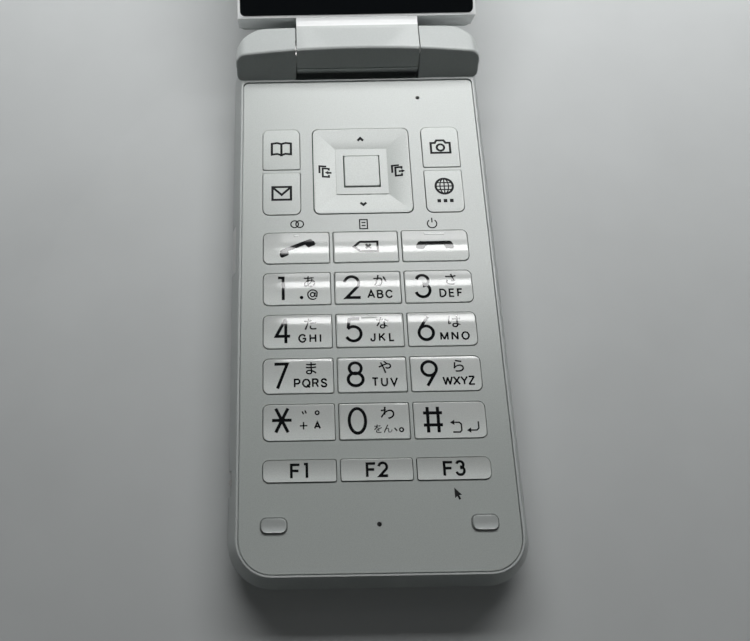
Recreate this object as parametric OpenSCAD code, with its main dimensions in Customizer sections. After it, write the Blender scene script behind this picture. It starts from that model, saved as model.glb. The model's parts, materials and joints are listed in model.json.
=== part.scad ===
// Folding feature phone, opened flat on its back with the display half tilted up.
// X runs across the phone, Y towards the hinge, Z up. The origin lies on the flat back
// of the keypad half, below the middle of the keypad panel. All sizes are millimetres.

/* [Keypad half] */
// Width of the keypad panel
panel_w = 48.4; // [47.6:0.1:52]
// Length of the keypad panel
panel_l = 99.6; // [98:0.1:108]
// Thickness of the keypad panel
panel_t = 0.5; // [0.4:0.05:0.7]
// Radius of the panel's far corners
panel_corner = 5.8; // [5:0.1:7]
// Radius of the panel's corners at the hinge
panel_hinge_corner = 1; // [0.5:0.1:2]
// Groove between the panel and the case around it
panel_groove = 0.2; // [0.1:0.05:0.3]
// Thickness of the keypad half, from its back to the panel's face
base_t = 9.2; // [9:0.1:11]
// How far the case rim stands above the panel
rim_rise = 0.1; // [0:0.05:0.2]
// Width of the rim on top of the case
rim_w = 0.4; // [0.3:0.05:0.6]
// How far the sides bulge out past the rim
side_bulge = 1.7; // [1:0.1:2]
// Radius of the lower edge, from the flat back to the widest line
edge_r = 4.6; // [4:0.1:5]
// Height of the parting line between the two case shells
split_z = 3; // [2.6:0.1:3.4]
// Width of the ledge that carries the panel
ledge_w = 1; // [0.8:0.1:1.4]
// Thickness of the rear case's floor
floor_t = 1.7; // [1.5:0.1:2]
// Depth of the rim behind the panel at the hinge
hinge_rim = 0.65; // [0.5:0.05:0.9]

/* [Hinge] */
// Distance of the hinge axis behind the rim
axis_back = 5.15; // [5:0.05:5.5]
// Height of the hinge axis above the panel's face
axis_rise = 1.85; // [1.8:0.05:2.1]
// Angle of the opened display half from its closed position
open_deg = 160; // [150:1:165]
// Width of the middle barrel
barrel_w = 25.7; // [22:0.1:28]
// Gap between the barrel and the hinge caps
seam_gap = 0.2; // [0.15:0.05:0.3]
// Radius of the hinge caps' rounded back
cap_r = 5.6; // [5.4:0.05:5.9]
// Half the width over both hinge caps
cap_reach = 25.6; // [25:0.1:26]
// Radius of the hinge caps' rear corners, seen from above
cap_corner = 8.5; // [7:0.1:9]
// Lean of the caps' front faces from upright
front_lean = 32; // [28:1:36]
// Height of the crown's top above the hinge axis
crown_rise = 3.9; // [3.6:0.05:4.1]
// Radius of the crown across the hinge
crown_r = 200; // [160:5:260]
// Fall of the hinge's top towards the rear
crown_fall = 6; // [4:1:8]
// Radius of the barrel's round core
core_r = 3.9; // [3.7:0.05:4]
// Radius of the pocket that the barrel turns in
pocket_r = 5.5; // [5.4:0.05:5.6]
// Radius of the hinge bores' inserts
pivot_r = 2.4; // [2.2:0.05:2.5]
// Running clearance round the hinge inserts
pivot_clear = 0.05; // [0.03:0.01:0.08]
// Radius of the bore through the hinge bush
bush_bore_r = 1.7; // [1.5:0.05:1.8]

/* [Display half] */
// Width of the display half
lid_w = 50.4; // [49:0.1:51.4]
// Thickness of the display half
lid_t = 7.5; // [7.2:0.1:8.5]
// Depth of the display half's front case
lid_case_h = 5; // [4.8:0.1:5.4]
// Gap between the two halves when closed
lid_gap = 0.55; // [0.5:0.05:0.7]
// Distance from the hinge axis to the display half's end
lid_end = 7.4; // [7.3:0.1:8]
// Width of the white rim round the display window
lid_rim = 0.5; // [0.4:0.05:0.8]
// Thickness of the display window
window_t = 1; // [0.8:0.05:1.1]
// Width of the display module
display_w = 43.6; // [42:0.1:44]
// Length of the display module
display_l = 81.6; // [78:0.1:82]
// Thickness of the display module
display_t = 2; // [1.8:0.1:2.1]

/* [Keys] */
// Width of the middle column's keys
mid_key_w = 12.55; // [12:0.05:12.6]
// Width of the outer columns' keys
side_key_w = 12.8; // [12.4:0.05:13.2]
// Depth of a number key
key_h = 6.6; // [6.2:0.05:6.8]
// Depth of a function key
function_key_h = 3.8; // [3.4:0.05:4.4]
// Strip of panel between neighbouring keys
key_land = 0.85; // [0.8:0.05:1]
// Distance from one row of keys to the next
row_pitch = 8.66; // [8.5:0.02:8.8]
// Place of the first key row, from the panel's middle
first_row_y = 10.75; // [10.5:0.05:11]
// Width of the four shortcut keys
shortcut_w = 7.45; // [7:0.05:7.6]
// Depth of the four shortcut keys
shortcut_h = 9.45; // [9:0.05:9.7]
// Place of the shortcut keys across the phone
shortcut_x = 16.3; // [15.9:0.05:16.6]
// Width of the four-way key
nav_w = 19.6; // [19:0.05:20]
// Width of the flat floor inside the four-way key
nav_floor_w = 10.5; // [10:0.05:11]
// Width of the centre key
ok_w = 7.1; // [6.8:0.05:7.3]
// Place of the four-way key, from the panel's middle
nav_y = 28; // [27.8:0.05:28.4]
// Height of the key tops above the panel
key_rise = 0.35; // [0.25:0.05:0.4]
// Height of the four-way key's rim above the panel
nav_rise = 0.15; // [0.1:0.01:0.18]
// Gap between a key and its window
key_gap = 0.15; // [0.1:0.01:0.2]
// Travel of a key
key_travel = 0.3; // [0.2:0.05:0.3]
// Radius of the keys' crowned tops
key_crown = 45; // [35:1:80]
// Radius of the outer corners of the key block
key_corner = 1.05; // [0.9:0.05:2.2]
// Width of the lip that holds a key under the panel
key_lip = 0.25; // [0.2:0.01:0.27]

/* [Inside] */
// Thickness of the circuit board
board_t = 0.8; // [0.6:0.1:0.9]
// Width of the battery
battery_w = 34; // [30:0.5:34]
// Length of the battery
battery_l = 50; // [46:0.5:51]
// Width of the battery cover
cover_w = 38.8; // [37:0.1:39.4]
// Thickness of the battery cover
cover_t = 1; // [0.8:0.05:1.1]
// Place of the charging port along the side
port_y = 12; // [8:0.5:16]
// Length of the charging port's cover
port_l = 10; // [9.6:0.1:11]
// Height of the charging port's cover
port_h = 3.3; // [3.2:0.1:3.5]

/* [Hidden] */
$fn = 96;
over = 1;
// Clearance of pieces that only just pass each other
slip = 0.1;
// Rounded U outline that both halves share: the far corners turn about these centres
turn_x = panel_w / 2 - panel_corner;
turn_y = -panel_l / 2 + panel_corner;
panel_y = panel_l / 2;
case_y = panel_y + hinge_rim;
rim_d = panel_corner + panel_groove / 2 + rim_w;
bulge_d = rim_d + side_bulge;
flat_d = bulge_d - edge_r;
cavity_d = panel_corner - ledge_w;
cavity_y = panel_y - ledge_w;
rim_z = base_t + rim_rise;
// Hinge axis and the lines that touch its round back
axis_y = case_y + axis_back;
axis_z = base_t + axis_rise;
barrel_x = barrel_w / 2;
cap_x = barrel_x + seam_gap;
rear_y = axis_y + cap_r;
tail_in = 1.1;
tail_y = axis_y - tail_in;
tail_reach = sqrt(pow(axis_y - tail_y, 2) + pow(axis_z, 2));
tail_turn = atan2(-axis_z, tail_y - axis_y) + acos(cap_r / tail_reach);
tail_touch_y = axis_y + cap_r * cos(tail_turn);
tail_touch_z = axis_z + cap_r * sin(tail_turn);
front_slope = tan(front_lean);
crease_back = 1.75;
bore_r = pivot_r + pivot_clear;
insert_in = 6;
insert_out = 23;
shelf_lift = 0.2;
shelf_l = axis_back + 0.8 * cap_r;
// Display half, as it lies when closed
lid_z = base_t + lid_gap;
lid_top = lid_z + lid_t;
lid_split = lid_z + lid_case_h;
lid_y = axis_y - lid_end;
lid_d = lid_w / 2 - turn_x;
lid_step = 0.25;
lid_edge_r = lid_t - lid_case_h;
lid_tail_r = lid_edge_r - 1.5;
lid_wall = 1.2;
lid_cavity_d = lid_d - lid_wall;
window_z = lid_z + window_t;
window_gap = 0.05;
ledge_t = 0.6;
ledge_z = window_z + ledge_t;
display_gap = 0.2;
display_in = 6.1;
display_mid_y = lid_y - display_in - display_l / 2;
receiver_size = [12, 6];
receiver_in = 5.4;
// The display half ends flush with the keypad half, or further out where the display needs room
receiver_room = receiver_in + receiver_size[1] / 2 + display_gap;
lid_turn_y = min(turn_y, display_mid_y - display_l / 2 - receiver_room + lid_d);
roof_z = lid_top - lid_wall;
neck_t = 4.4;
tongue_t = 1.5;
tongue_gap = 0.05;
tongue_z = [ledge_z + tongue_gap, ledge_z + tongue_gap + tongue_t];
tongue_w = 22;
tongue_l = 5.6;
flex_t = 0.2;
flex_w = 6;
flex_gap = 0.2;
flex_z = around((tongue_z[0] + tongue_z[1]) / 2, flex_t);
lid_board_lift = 0.25;
lid_board_z = window_z + display_t + lid_board_lift;
lid_board_size = [40, 56];
lid_board_in = 7;
camera_x = -14;
camera_y = lid_y - 12.2;
camera_size = 8.4;
camera_lens_r = 3;
camera_lens_gap = 0.2;
camera_glass_r = 4.4;
sub_w = 26;
sub_h = 8;
sub_x = 6;
sub_rim = 1.6;
sub_corner = 1.5;
glass_t = 0.8;
receiver_y = lid_turn_y - lid_d + receiver_in;
receiver_t = 2.2;
receiver_corner = 1.5;
slot_w = 9;
slot_h = 1.2;
slot_corner = 0.55;
mesh_drop = 0.3;
lid_screw_in = 3.2;
lid_screw_end = 0.5;
lid_screw_x = [7, turn_x - 2.4];
lid_screw_y = [lid_y - lid_screw_in, lid_turn_y - lid_screw_end];
lid_screw_at = [for (i = [0, 1]) for (s = [-1, 1]) [s * lid_screw_x[i], lid_screw_y[i]]];
lid_screw_bite = 2.6;
lid_screw_hole = 3;
lid_boss_r = 1.8;
// Layers from the panel down to the battery cover
panel_z = base_t - panel_t;
lip_t = 0.45;
lip_z = panel_z - lip_t;
post_l = 0.4;
post_z = lip_z - post_l;
post_r = 1.2;
rest_gap = 0.05;
dome_h = 0.3;
dome_r = 2;
dome_z = post_z - key_travel - rest_gap - dome_h;
board_z = dome_z - board_t;
bay_roof = 0.4;
bay_z = board_z - bay_roof;
bay_gap = 0.2;
bay_wall = 0.8;
mat_t = 0.25;
mat_drop = 0.15;
mat_z = lip_z - key_travel - mat_drop - mat_t;
mat_rib = 0.8;
mat_side = 2.7;
mat_w = panel_w - 2 * mat_side;
mat_edge = 2.3;
mat_post_gap = 0.4;
mat_nav_gap = 0.3;
mat_top_y = nav_y + nav_w / 2 + mat_edge;
mat_end_y = first_row_y - 5 * row_pitch - function_key_h / 2 - mat_edge;
board_gap = 0.3;
// Key block
column_x = mid_key_w / 2 + key_land + side_key_w / 2;
square_corner = 0.3;
shortcut_step = 5.15;
shortcut_y = [nav_y + shortcut_step, nav_y - shortcut_step];
shortcut_crown = 90;
shortcut_corner = 1.25;
mark_rise = 0.06;
mark_depth = 0.5;
mark_in = 0.7;
nav_corner = 1.3;
nav_dish = 0.3;
nav_tilt_gap = 0.3;
nav_gap = 0.2;
hub_in = 1.3;
hub_w = nav_w - 2 * hub_in;
hub_t = 0.35;
ok_gap = 0.175;
ok_corner = 0.4;
ring_hole = ok_w + 2 * ok_gap;
hub_hole = ring_hole + 0.25;
hub_z = post_z;
ring_z = hub_z + hub_t + nav_tilt_gap;
fulcrum_w = 0.6;
fulcrum_l = 3.2;
fulcrum_gap = 0.02;
foot_w = 0.5;
foot_x = hub_hole / 2 + 0.3;
nav_dome_x = 6.5;
// Small pieces
battery_y = -11;
card_w = 17.6;
card_l = 13.6;
card_t = 1.4;
card_wall = 1;
card_skin = 0.3;
card_step = 10;
card_y = battery_y + battery_l / 2 + card_step;
cover_margin = 2.4;
cover_y = card_y + card_l / 2 + cover_margin;
cover_gap = 0.1;
tongue_reach = 0.5;
tongue_at = [0.35, 0.75];
port_z = 5.1;
port_gap = 0.15;
port_in = 1.4;
socket_w = 7.6;
socket_l = 4.8;
socket_h = 2.5;
socket_wall = 0.3;
socket_tongue = [0.7, 1.2];
strap_y = -34;
strap_z = [3.5, 6.3];
strap_l = 4.6;
strap_pin_r = 0.55;
strap_pin_in = 0.4;
strap_in = 0.75;
strap_deep = 2.1;
screw_r = 0.7;
screw_fit = 0.02;
screw_head_r = 1.3;
screw_head_t = 0.6;
screw_seat_z = 0.3;
boss_r = 2;
rib_t = 1.2;
rib_in = 0.5;
base_screw_x = [14, turn_x + 0.7];
base_screw_y = [turn_y + 0.3, panel_y - 9.6];
base_screw_at = [for (i = [0, 1]) for (s = [-1, 1]) [s * base_screw_x[i], base_screw_y[i]]];
base_screw_bite = 3;
base_screw_hole = 3.4;
bumper_at = [18.1, turn_y + 2.2];
bumper_size = [4.3, 2.4];
bumper_corner = 0.9;
bumper_gap = 0.05;
bumper_rise = lid_gap - bumper_gap;
mic_r = 0.42;
mic_size = [3, 2];
mic_t = 1;
mic_at = [[0, -panel_y + 8], [12.5, panel_y - 4.4]];
speaker_at = [-9.5, panel_y - 8.4];
speaker_size = [14, 8.6];
speaker_t = 3.2;
speaker_corner = 2;
speaker_slot = [0.7, 5];
speaker_slot_corner = 0.34;
speaker_slot_pitch = 1.6;
motor_at = [9.5, panel_y - 8.4];
motor_r = 4;
motor_t = 2.7;

rows = [
  ["key_call", "key_clear", "key_end"], ["key_1", "key_2", "key_3"], ["key_4", "key_5", "key_6"],
  ["key_7", "key_8", "key_9"], ["key_star", "key_0", "key_hash"], ["key_f1", "key_f2", "key_f3"]
];
shortcuts = [["key_book", "key_mail"], ["key_camera", "key_web"]];
// Raised marks for the fingertips: key name, width
marks = [["key_call", 0.9], ["key_end", 4], ["key_5", 3]];

// What is left to cut away at an upper right corner to round it
module corner_waste(r) {
  difference() {
    translate([-r, -r]) square(r + over);
    translate([-r, -r]) circle(r);
  }
}

// Rectangle about its middle, with corner radii upper right, upper left, lower left, lower right
module rounded(w, h, radii) {
  difference() {
    square([w, h], center = true);
    translate([w / 2, h / 2]) corner_waste(radii[0]);
    translate([-w / 2, h / 2]) rotate(90) corner_waste(radii[1]);
    translate([-w / 2, -h / 2]) rotate(180) corner_waste(radii[2]);
    translate([w / 2, -h / 2]) rotate(270) corner_waste(radii[3]);
  }
}

module even_rounded(w, h, r) {
  rounded(w, h, [r, r, r, r]);
}

// Outline at distance d from the far corners' centres, closed at y_end
module u_outline(d, y_end, end_r = 0, far_y = turn_y) {
  difference() {
    union() {
      translate([-turn_x - d, far_y]) square([2 * (turn_x + d), y_end - far_y]);
      translate([-turn_x, far_y - d]) square([2 * turn_x, d]);
      for (s = [-1, 1]) translate([s * turn_x, far_y]) circle(d);
    }
    if (end_r > 0) {
      translate([turn_x + d, y_end]) corner_waste(end_r);
      translate([-turn_x - d, y_end]) rotate(90) corner_waste(end_r);
    }
  }
}

module u_block(d, z, y_end, end_r = 0, far_y = turn_y) {
  translate([0, 0, z[0]]) linear_extrude(z[1] - z[0]) u_outline(d, y_end, end_r, far_y);
}

// The same block for the display half
module lid_block(d, z, y_end, end_r = 0) {
  u_block(d, z, y_end, end_r, lid_turn_y);
}

// Carries a section, given as distance out and height, round the U outline and fills its middle
module u_sweep(z, y_end, far_y = turn_y) {
  for (s = [0, 1]) mirror([s, 0, 0]) {
    translate([turn_x, y_end, 0]) rotate([90, 0, 0]) linear_extrude(y_end - far_y) children();
    translate([turn_x, far_y, 0]) rotate([0, 0, -90]) rotate_extrude(angle = 90) children();
  }
  translate([turn_x, far_y, 0]) rotate([90, 0, -90]) linear_extrude(2 * turn_x) children();
  translate([-turn_x, far_y, z[0]]) cube([2 * turn_x, y_end - far_y, z[1] - z[0]]);
}

// Side of the keypad half between two heights: round lower edge, then a draft up to the rim
module base_side(z) {
  intersection() {
    union() {
      square([flat_d, edge_r]);
      intersection() {
        translate([flat_d, edge_r]) circle(edge_r);
        translate([flat_d, 0]) square(edge_r);
      }
      polygon([[0, edge_r], [bulge_d, edge_r], [rim_d, rim_z], [0, rim_z]]);
    }
    translate([0, z[0]]) square([bulge_d + over, z[1] - z[0]]);
  }
}

// Side of the display half's rear case
module lid_side() {
  square([lid_d - lid_step - lid_edge_r, lid_edge_r]);
  intersection() {
    translate([lid_d - lid_step - lid_edge_r, 0]) circle(lid_edge_r);
    square([lid_d, lid_edge_r]);
  }
}

function around(middle, width) = [middle - width / 2, middle + width / 2];

module box(x, y, z) {
  translate([x[0], y[0], z[0]]) cube([x[1] - x[0], y[1] - y[0], z[1] - z[0]]);
}

// Round bar along X
module x_rod(r, x) {
  translate([x[0], axis_y, axis_z]) rotate([0, 90, 0]) cylinder(r = r, h = x[1] - x[0]);
}

// Outline in the Y-Z plane drawn out along X
module x_extrude(x) {
  translate([x[0], 0, 0]) rotate([90, 0, 90]) linear_extrude(x[1] - x[0]) children();
}

// Turns the display half from its closed place to its open one
module opened() {
  translate([0, axis_y, axis_z]) rotate([-open_deg, 0, 0]) translate([0, -axis_y, -axis_z]) children();
}

// Space behind the hinge's leaning front faces
module behind_front(z0) {
  top_z = axis_z + cap_r + over;
  foot_y = case_y;
  polygon([
    [foot_y, z0], [foot_y, base_t], [foot_y + (top_z - base_t) * front_slope, top_z],
    [rear_y + over, top_z], [rear_y + over, z0]
  ]);
}

// Lower rear of the keypad half: a ramp from the flat back to the round of the hinge caps
module tail(z0) {
  polygon([
    [case_y, z0], [tail_y, z0], [tail_y, 0], [tail_touch_y, tail_touch_z], [axis_y, axis_z],
    [axis_y, axis_z + crown_rise + over], [case_y, axis_z + crown_rise + over]
  ]);
}

// Wide, gently arched top that the hinge caps and the barrel share
module crown() {
  translate([0, axis_y - crease_back, axis_z + crown_rise])
    rotate([-crown_fall, 0, 0])
      translate([0, 0, -crown_r])
        rotate([90, 0, 0]) cylinder(r = crown_r, h = 8 * cap_r, center = true, $fn = 360);
}

// Upper shell of the keypad half: rim, side walls, hinge pocket and screw bosses
module base_front_case() {
  color("whitesmoke") difference() {
    union() {
      difference() {
        u_sweep([split_z, rim_z], case_y) base_side([split_z, rim_z]);
        u_block(panel_corner + panel_groove / 2, [panel_z, rim_z + over], panel_y + panel_groove / 2,
          panel_hinge_corner);
        u_block(cavity_d, [split_z - over, panel_z + over], cavity_y);
      }
      x_extrude([-cap_x, cap_x]) intersection() {
        tail(-over);
        translate([case_y - rim_w, split_z]) square([rear_y - case_y, base_t - split_z]);
      }
      for (at = base_screw_at) translate([at[0], at[1], split_z]) {
        cylinder(r = boss_r, h = board_z - slip - split_z);
        boss_rib(at);
      }
    }
    x_rod(pocket_r, [-cap_x - over, cap_x + over]);
    for (at = base_screw_at) translate([at[0], at[1], split_z - over])
      cylinder(r = screw_r, h = base_screw_hole + over);
    translate([-turn_x - bulge_d - over, port_y - port_l / 2 - port_gap, port_z - port_h / 2 - port_gap])
      cube([bulge_d - cavity_d + 2 * over, port_l + 2 * port_gap, port_h + 2 * port_gap]);
    box([-turn_x - bulge_d - over, -turn_x - bulge_d + strap_deep], around(strap_y, strap_l), strap_z);
    strap_rod();
  }
}

// Web from a screw boss to the nearest wall
module boss_rib(at) {
  rib_h = board_z - slip - rib_in - split_z;
  wall_d = cavity_d + rib_in;
  if (at[1] < 0) translate([-rib_t / 2, turn_y - wall_d - at[1], 0])
    cube([rib_t, at[1] - turn_y + wall_d, rib_h]);
  else mirror([at[0] < 0 ? 1 : 0, 0, 0]) translate([0, -rib_t / 2, 0])
    cube([turn_x + wall_d - abs(at[0]), rib_t, rib_h]);
}

module strap_rod() {
  translate([-turn_x - bulge_d + strap_in, strap_y, strap_z[0] - strap_pin_in])
    cylinder(r = strap_pin_r, h = strap_z[1] - strap_z[0] + 2 * strap_pin_in);
}

// Steel pin across the strap notch
module strap_pin() {
  color("silver") strap_rod();
}

// Face plate with a window for each key
module keypad_panel() {
  color("gainsboro") difference() {
    u_block(panel_corner - panel_groove / 2, [panel_z, base_t], panel_y - panel_groove / 2,
      panel_hinge_corner);
    translate([0, 0, panel_z - over]) linear_extrude(panel_t + 2 * over) {
      for (r = [0 : 5]) for (c = [0 : 2]) translate(key_at(r, c)) key_outline(r, c, key_gap);
      for (s = [0, 1]) for (i = [0, 1]) translate(shortcut_at(s, i)) shortcut_outline(i, key_gap);
      translate([0, nav_y]) even_rounded(nav_w + 2 * nav_gap, nav_w + 2 * nav_gap, nav_corner);
      for (at = mic_at) translate(at) circle(mic_r);
    }
  }
}

// Lower shell of the keypad half: floor, battery bay, card bay and the tail under the hinge
module base_rear_case() {
  color("whitesmoke") difference() {
    union() {
      difference() {
        intersection() {
          u_sweep([0, split_z], rear_y) base_side([0, split_z]);
          x_extrude([-turn_x - bulge_d - over, turn_x + bulge_d + over]) union() {
            tail(-over);
            translate([turn_y - bulge_d - over, -over])
              square([case_y - turn_y + bulge_d + over, split_z + 2 * over]);
          }
          u_block(bulge_d, [-over, split_z + over], rear_y, cap_corner);
        }
        u_block(cavity_d, [floor_t, split_z + over], cavity_y);
      }
      bay_box(battery_w, battery_l, battery_y);
      bay_box(card_w, card_l, card_y);
      for (at = base_screw_at) translate([at[0], at[1], cover_t + slip])
        cylinder(r = boss_r, h = split_z - cover_t - slip);
    }
    bay_space(battery_w, battery_l, battery_y, bay_z);
    bay_space(card_w, card_l, card_y, bay_z);
    cover_space();
    for (at = base_screw_at) translate([at[0], at[1], -over]) {
      cylinder(r = screw_r, h = split_z + 2 * over);
      cylinder(r = screw_head_r + slip, h = over + screw_seat(at) + screw_head_t);
    }
    for (i = [-2 : 2]) translate([speaker_at[0] + speaker_slot_pitch * i, speaker_at[1], -over])
      linear_extrude(floor_t + 2 * over) even_rounded(speaker_slot[0], speaker_slot[1], speaker_slot_corner);
  }
}

// Height of a screw head's lower face: under the battery cover or just inside the back
function screw_seat(at) = at[1] < cover_y ? cover_t + cover_gap : screw_seat_z;

module bay_box(w, l, y) {
  reach = bay_gap + bay_wall;
  box([-w / 2 - reach, w / 2 + reach], [y - l / 2 - reach, y + l / 2 + reach], [floor_t / 2, board_z]);
}

module bay_space(w, l, y, z1) {
  box([-w / 2 - bay_gap, w / 2 + bay_gap], [y - l / 2 - bay_gap, y + l / 2 + bay_gap], [-over, z1]);
}

// Recess that the battery cover slides out of
module cover_space() {
  half = cover_w / 2 + cover_gap;
  box([-half, half], [turn_y - bulge_d - over, cover_y + cover_gap], [-over, cover_t + cover_gap]);
  box([-half - tongue_reach, half + tongue_reach], [turn_y - bulge_d - over, cover_y + cover_gap],
    tongue_at + cover_gap * [-1, 1]);
}

// Back cover over the battery, held by a tongue along each side
module battery_cover() {
  half = cover_w / 2;
  color("white") intersection() {
    u_sweep([0, cover_t], cover_y) base_side([0, cover_t]);
    union() {
      box([-half, half], [turn_y - bulge_d - over, cover_y], [-over, cover_t + over]);
      box([-half - tongue_reach, half + tongue_reach], [turn_y - flat_d, cover_y], tongue_at);
    }
  }
}

// Fixed end of the hinge, with its leaning front, arched top and round back
module hinge_cap(side) {
  color("whitesmoke") mirror([side < 0 ? 1 : 0, 0, 0]) difference() {
    intersection() {
      x_extrude([cap_x, cap_reach]) intersection() {
        union() {
          translate([axis_y, axis_z]) circle(cap_r);
          tail(split_z);
        }
        behind_front(split_z);
      }
      crown();
      translate([0, 0, -over]) linear_extrude(axis_z + cap_r + 2 * over)
        u_outline(cap_reach - turn_x, rear_y, cap_corner);
    }
    x_rod(bore_r, [cap_x - over, insert_out + slip]);
  }
}

module hinge_cap_left() {
  hinge_cap(-1);
}

module hinge_cap_right() {
  hinge_cap(1);
}

// Sprung click cartridge that holds the display half open or closed
module click_hinge() {
  color("dimgray") x_rod(pivot_r, [insert_in, insert_out]);
}

// Hollow pivot that the flexible circuit passes through
module hinge_bush() {
  color("silver") difference() {
    x_rod(pivot_r, [-insert_out, -insert_in]);
    x_rod(bush_bore_r, [-insert_out - over, -insert_in + over]);
  }
}

module main_board() {
  color("darkgreen") u_block(cavity_d - board_gap, [board_z, board_z + board_t], cavity_y - board_gap);
}

// Snap domes under the keys
module dome_switches() {
  color("silver") {
    for (r = [0 : 5]) for (c = [0 : 2]) dome(key_at(r, c));
    for (s = [0, 1]) for (i = [0, 1]) dome(shortcut_at(s, i));
    for (way = [[0, 0], [1, 0], [-1, 0], [0, 1], [0, -1]]) dome([0, nav_y] + nav_dome_x * way);
  }
}

module dome(at) {
  translate([at[0], at[1], dome_z]) cylinder(r1 = dome_r, r2 = dome_r / 2, h = dome_h);
}

// Silicone sheet under the keys, with a rib round it that carries the panel
module key_mat() {
  mid_y = (mat_top_y + mat_end_y) / 2;
  mat_l = mat_top_y - mat_end_y;
  color("lightgray") difference() {
    translate([0, mid_y, 0]) union() {
      translate([0, 0, mat_z]) linear_extrude(mat_t) square([mat_w, mat_l], center = true);
      translate([0, 0, dome_z]) linear_extrude(panel_z - dome_z) difference() {
        square([mat_w, mat_l], center = true);
        square([mat_w - 2 * mat_rib, mat_l - 2 * mat_rib], center = true);
      }
    }
    for (r = [0 : 5]) for (c = [0 : 2]) translate(key_at(r, c)) mat_hole();
    for (s = [0, 1]) for (i = [0, 1]) translate(shortcut_at(s, i)) mat_hole();
    translate([0, nav_y, mat_z - over]) linear_extrude(mat_t + 2 * over)
      square(nav_w + 2 * mat_nav_gap, center = true);
  }
}

module mat_hole() {
  translate([0, 0, mat_z - over]) cylinder(r = post_r + mat_post_gap, h = mat_t + 2 * over);
}

module battery() {
  color("lightslategray")
    box(around(0, battery_w), around(battery_y, battery_l), [cover_t + bay_gap, bay_z - bay_gap / 4]);
}

// Frame for the subscriber card, on the roof of its bay
module card_socket() {
  low_z = bay_z - card_t;
  end_y = card_y + card_l / 2 - card_wall;
  color("silver") difference() {
    box(around(0, card_w), around(card_y, card_l), [low_z, bay_z]);
    box(around(0, card_w - 2 * card_wall), [end_y - card_l, end_y], [low_z + card_skin, bay_z - card_skin]);
  }
}

// Charging socket that hangs from the board behind its cover
module charging_socket() {
  in_x = -turn_x - cavity_d + slip;
  mouth_x = [in_x - over, in_x + socket_l - socket_wall];
  mouth_y = around(port_y, socket_w - 2 * socket_wall);
  low_z = board_z - socket_h;
  color("silver") difference() {
    box([in_x, in_x + socket_l], around(port_y, socket_w), [low_z, board_z]);
    box(mouth_x, mouth_y, [low_z + socket_wall, board_z - socket_tongue[1]]);
    box(mouth_x, mouth_y, [board_z - socket_tongue[0], board_z - socket_wall]);
  }
}

// Hinged flap that closes the charging port, flush with the side
module port_cover() {
  outer_x = -turn_x - bulge_d;
  color("white") intersection() {
    u_sweep([split_z, rim_z], case_y) base_side([split_z, rim_z]);
    box([outer_x - over, outer_x + port_in], around(port_y, port_l), around(port_z, port_h));
  }
}

module loudspeaker() {
  color("dimgray") translate([speaker_at[0], speaker_at[1], floor_t]) linear_extrude(speaker_t)
    even_rounded(speaker_size[0], speaker_size[1], speaker_corner);
}

module vibration_motor() {
  color("silver") translate([motor_at[0], motor_at[1], floor_t]) cylinder(r = motor_r, h = motor_t);
}

// Microphone capsules below the two holes in the panel
module microphones() {
  color("goldenrod") for (at = mic_at) translate([at[0], at[1], dome_z])
    linear_extrude(mic_t) square(mic_size, center = true);
}

// Pads that the display half closes onto
module bumper_pads() {
  color("ivory") for (s = [-1, 1]) translate([s * bumper_at[0], bumper_at[1], base_t])
    linear_extrude(bumper_rise) even_rounded(bumper_size[0], bumper_size[1], bumper_corner);
}

module base_screws() {
  color("silver") for (at = base_screw_at) translate([at[0], at[1], screw_seat(at)]) {
    cylinder(r = screw_head_r, h = screw_head_t);
    cylinder(r = screw_r - screw_fit, h = split_z + base_screw_bite - screw_seat(at));
  }
}

// Place and outline of a key in the block, by row and column
function key_at(r, c) = [(c - 1) * column_x, first_row_y - r * row_pitch];
function row_h(r) = r == 5 ? function_key_h : key_h;
function column_w(c) = c == 1 ? mid_key_w : side_key_w;
function outer_corner(r) = min(key_corner, row_h(r) / 2 - square_corner);
function shortcut_at(s, i) = [(2 * s - 1) * shortcut_x, shortcut_y[i]];

module key_outline(r, c, grow) {
  right = (c == 2 ? outer_corner(r) : square_corner) + grow;
  left = (c == 0 ? outer_corner(r) : square_corner) + grow;
  rounded(column_w(c) + 2 * grow, row_h(r) + 2 * grow, [right, left, left, right]);
}

module shortcut_outline(i, grow) {
  top = (i == 0 ? shortcut_corner : square_corner) + grow;
  low = (i == 0 ? square_corner : shortcut_corner) + grow;
  rounded(shortcut_w + 2 * grow, shortcut_h + 2 * grow, [top, top, low, low]);
}

// Crowned key cap with a lip under the panel and a post over its dome
module key_body(w, crown, mark_w, mark_y) {
  top_z = base_t + key_rise;
  color("gainsboro") union() {
    intersection() {
      translate([0, 0, panel_z]) linear_extrude(panel_t + key_rise + over) children(0);
      translate([0, 0, top_z - crown]) rotate([0, 90, 0])
        cylinder(r = crown, h = w + 2 * over, center = true, $fn = 360);
    }
    translate([0, 0, lip_z]) linear_extrude(lip_t) children(1);
    translate([0, 0, post_z]) cylinder(r = post_r, h = post_l);
    if (mark_w > 0) box(around(0, mark_w), around(mark_y, mark_depth), [base_t, top_z + mark_rise]);
  }
}

module number_key(r, c) {
  found = search([rows[r][c]], marks)[0];
  mark_w = is_num(found) ? marks[found][1] : 0;
  at = key_at(r, c);
  translate([at[0], at[1], 0]) key_body(column_w(c), key_crown, mark_w, row_h(r) / 2 - mark_in) {
    key_outline(r, c, 0);
    key_outline(r, c, key_lip);
  }
}

module shortcut_key(s, i) {
  at = shortcut_at(s, i);
  translate([at[0], at[1], 0]) key_body(shortcut_w, shortcut_crown, 0, 0) {
    shortcut_outline(i, 0);
    shortcut_outline(i, key_lip);
  }
}

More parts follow.
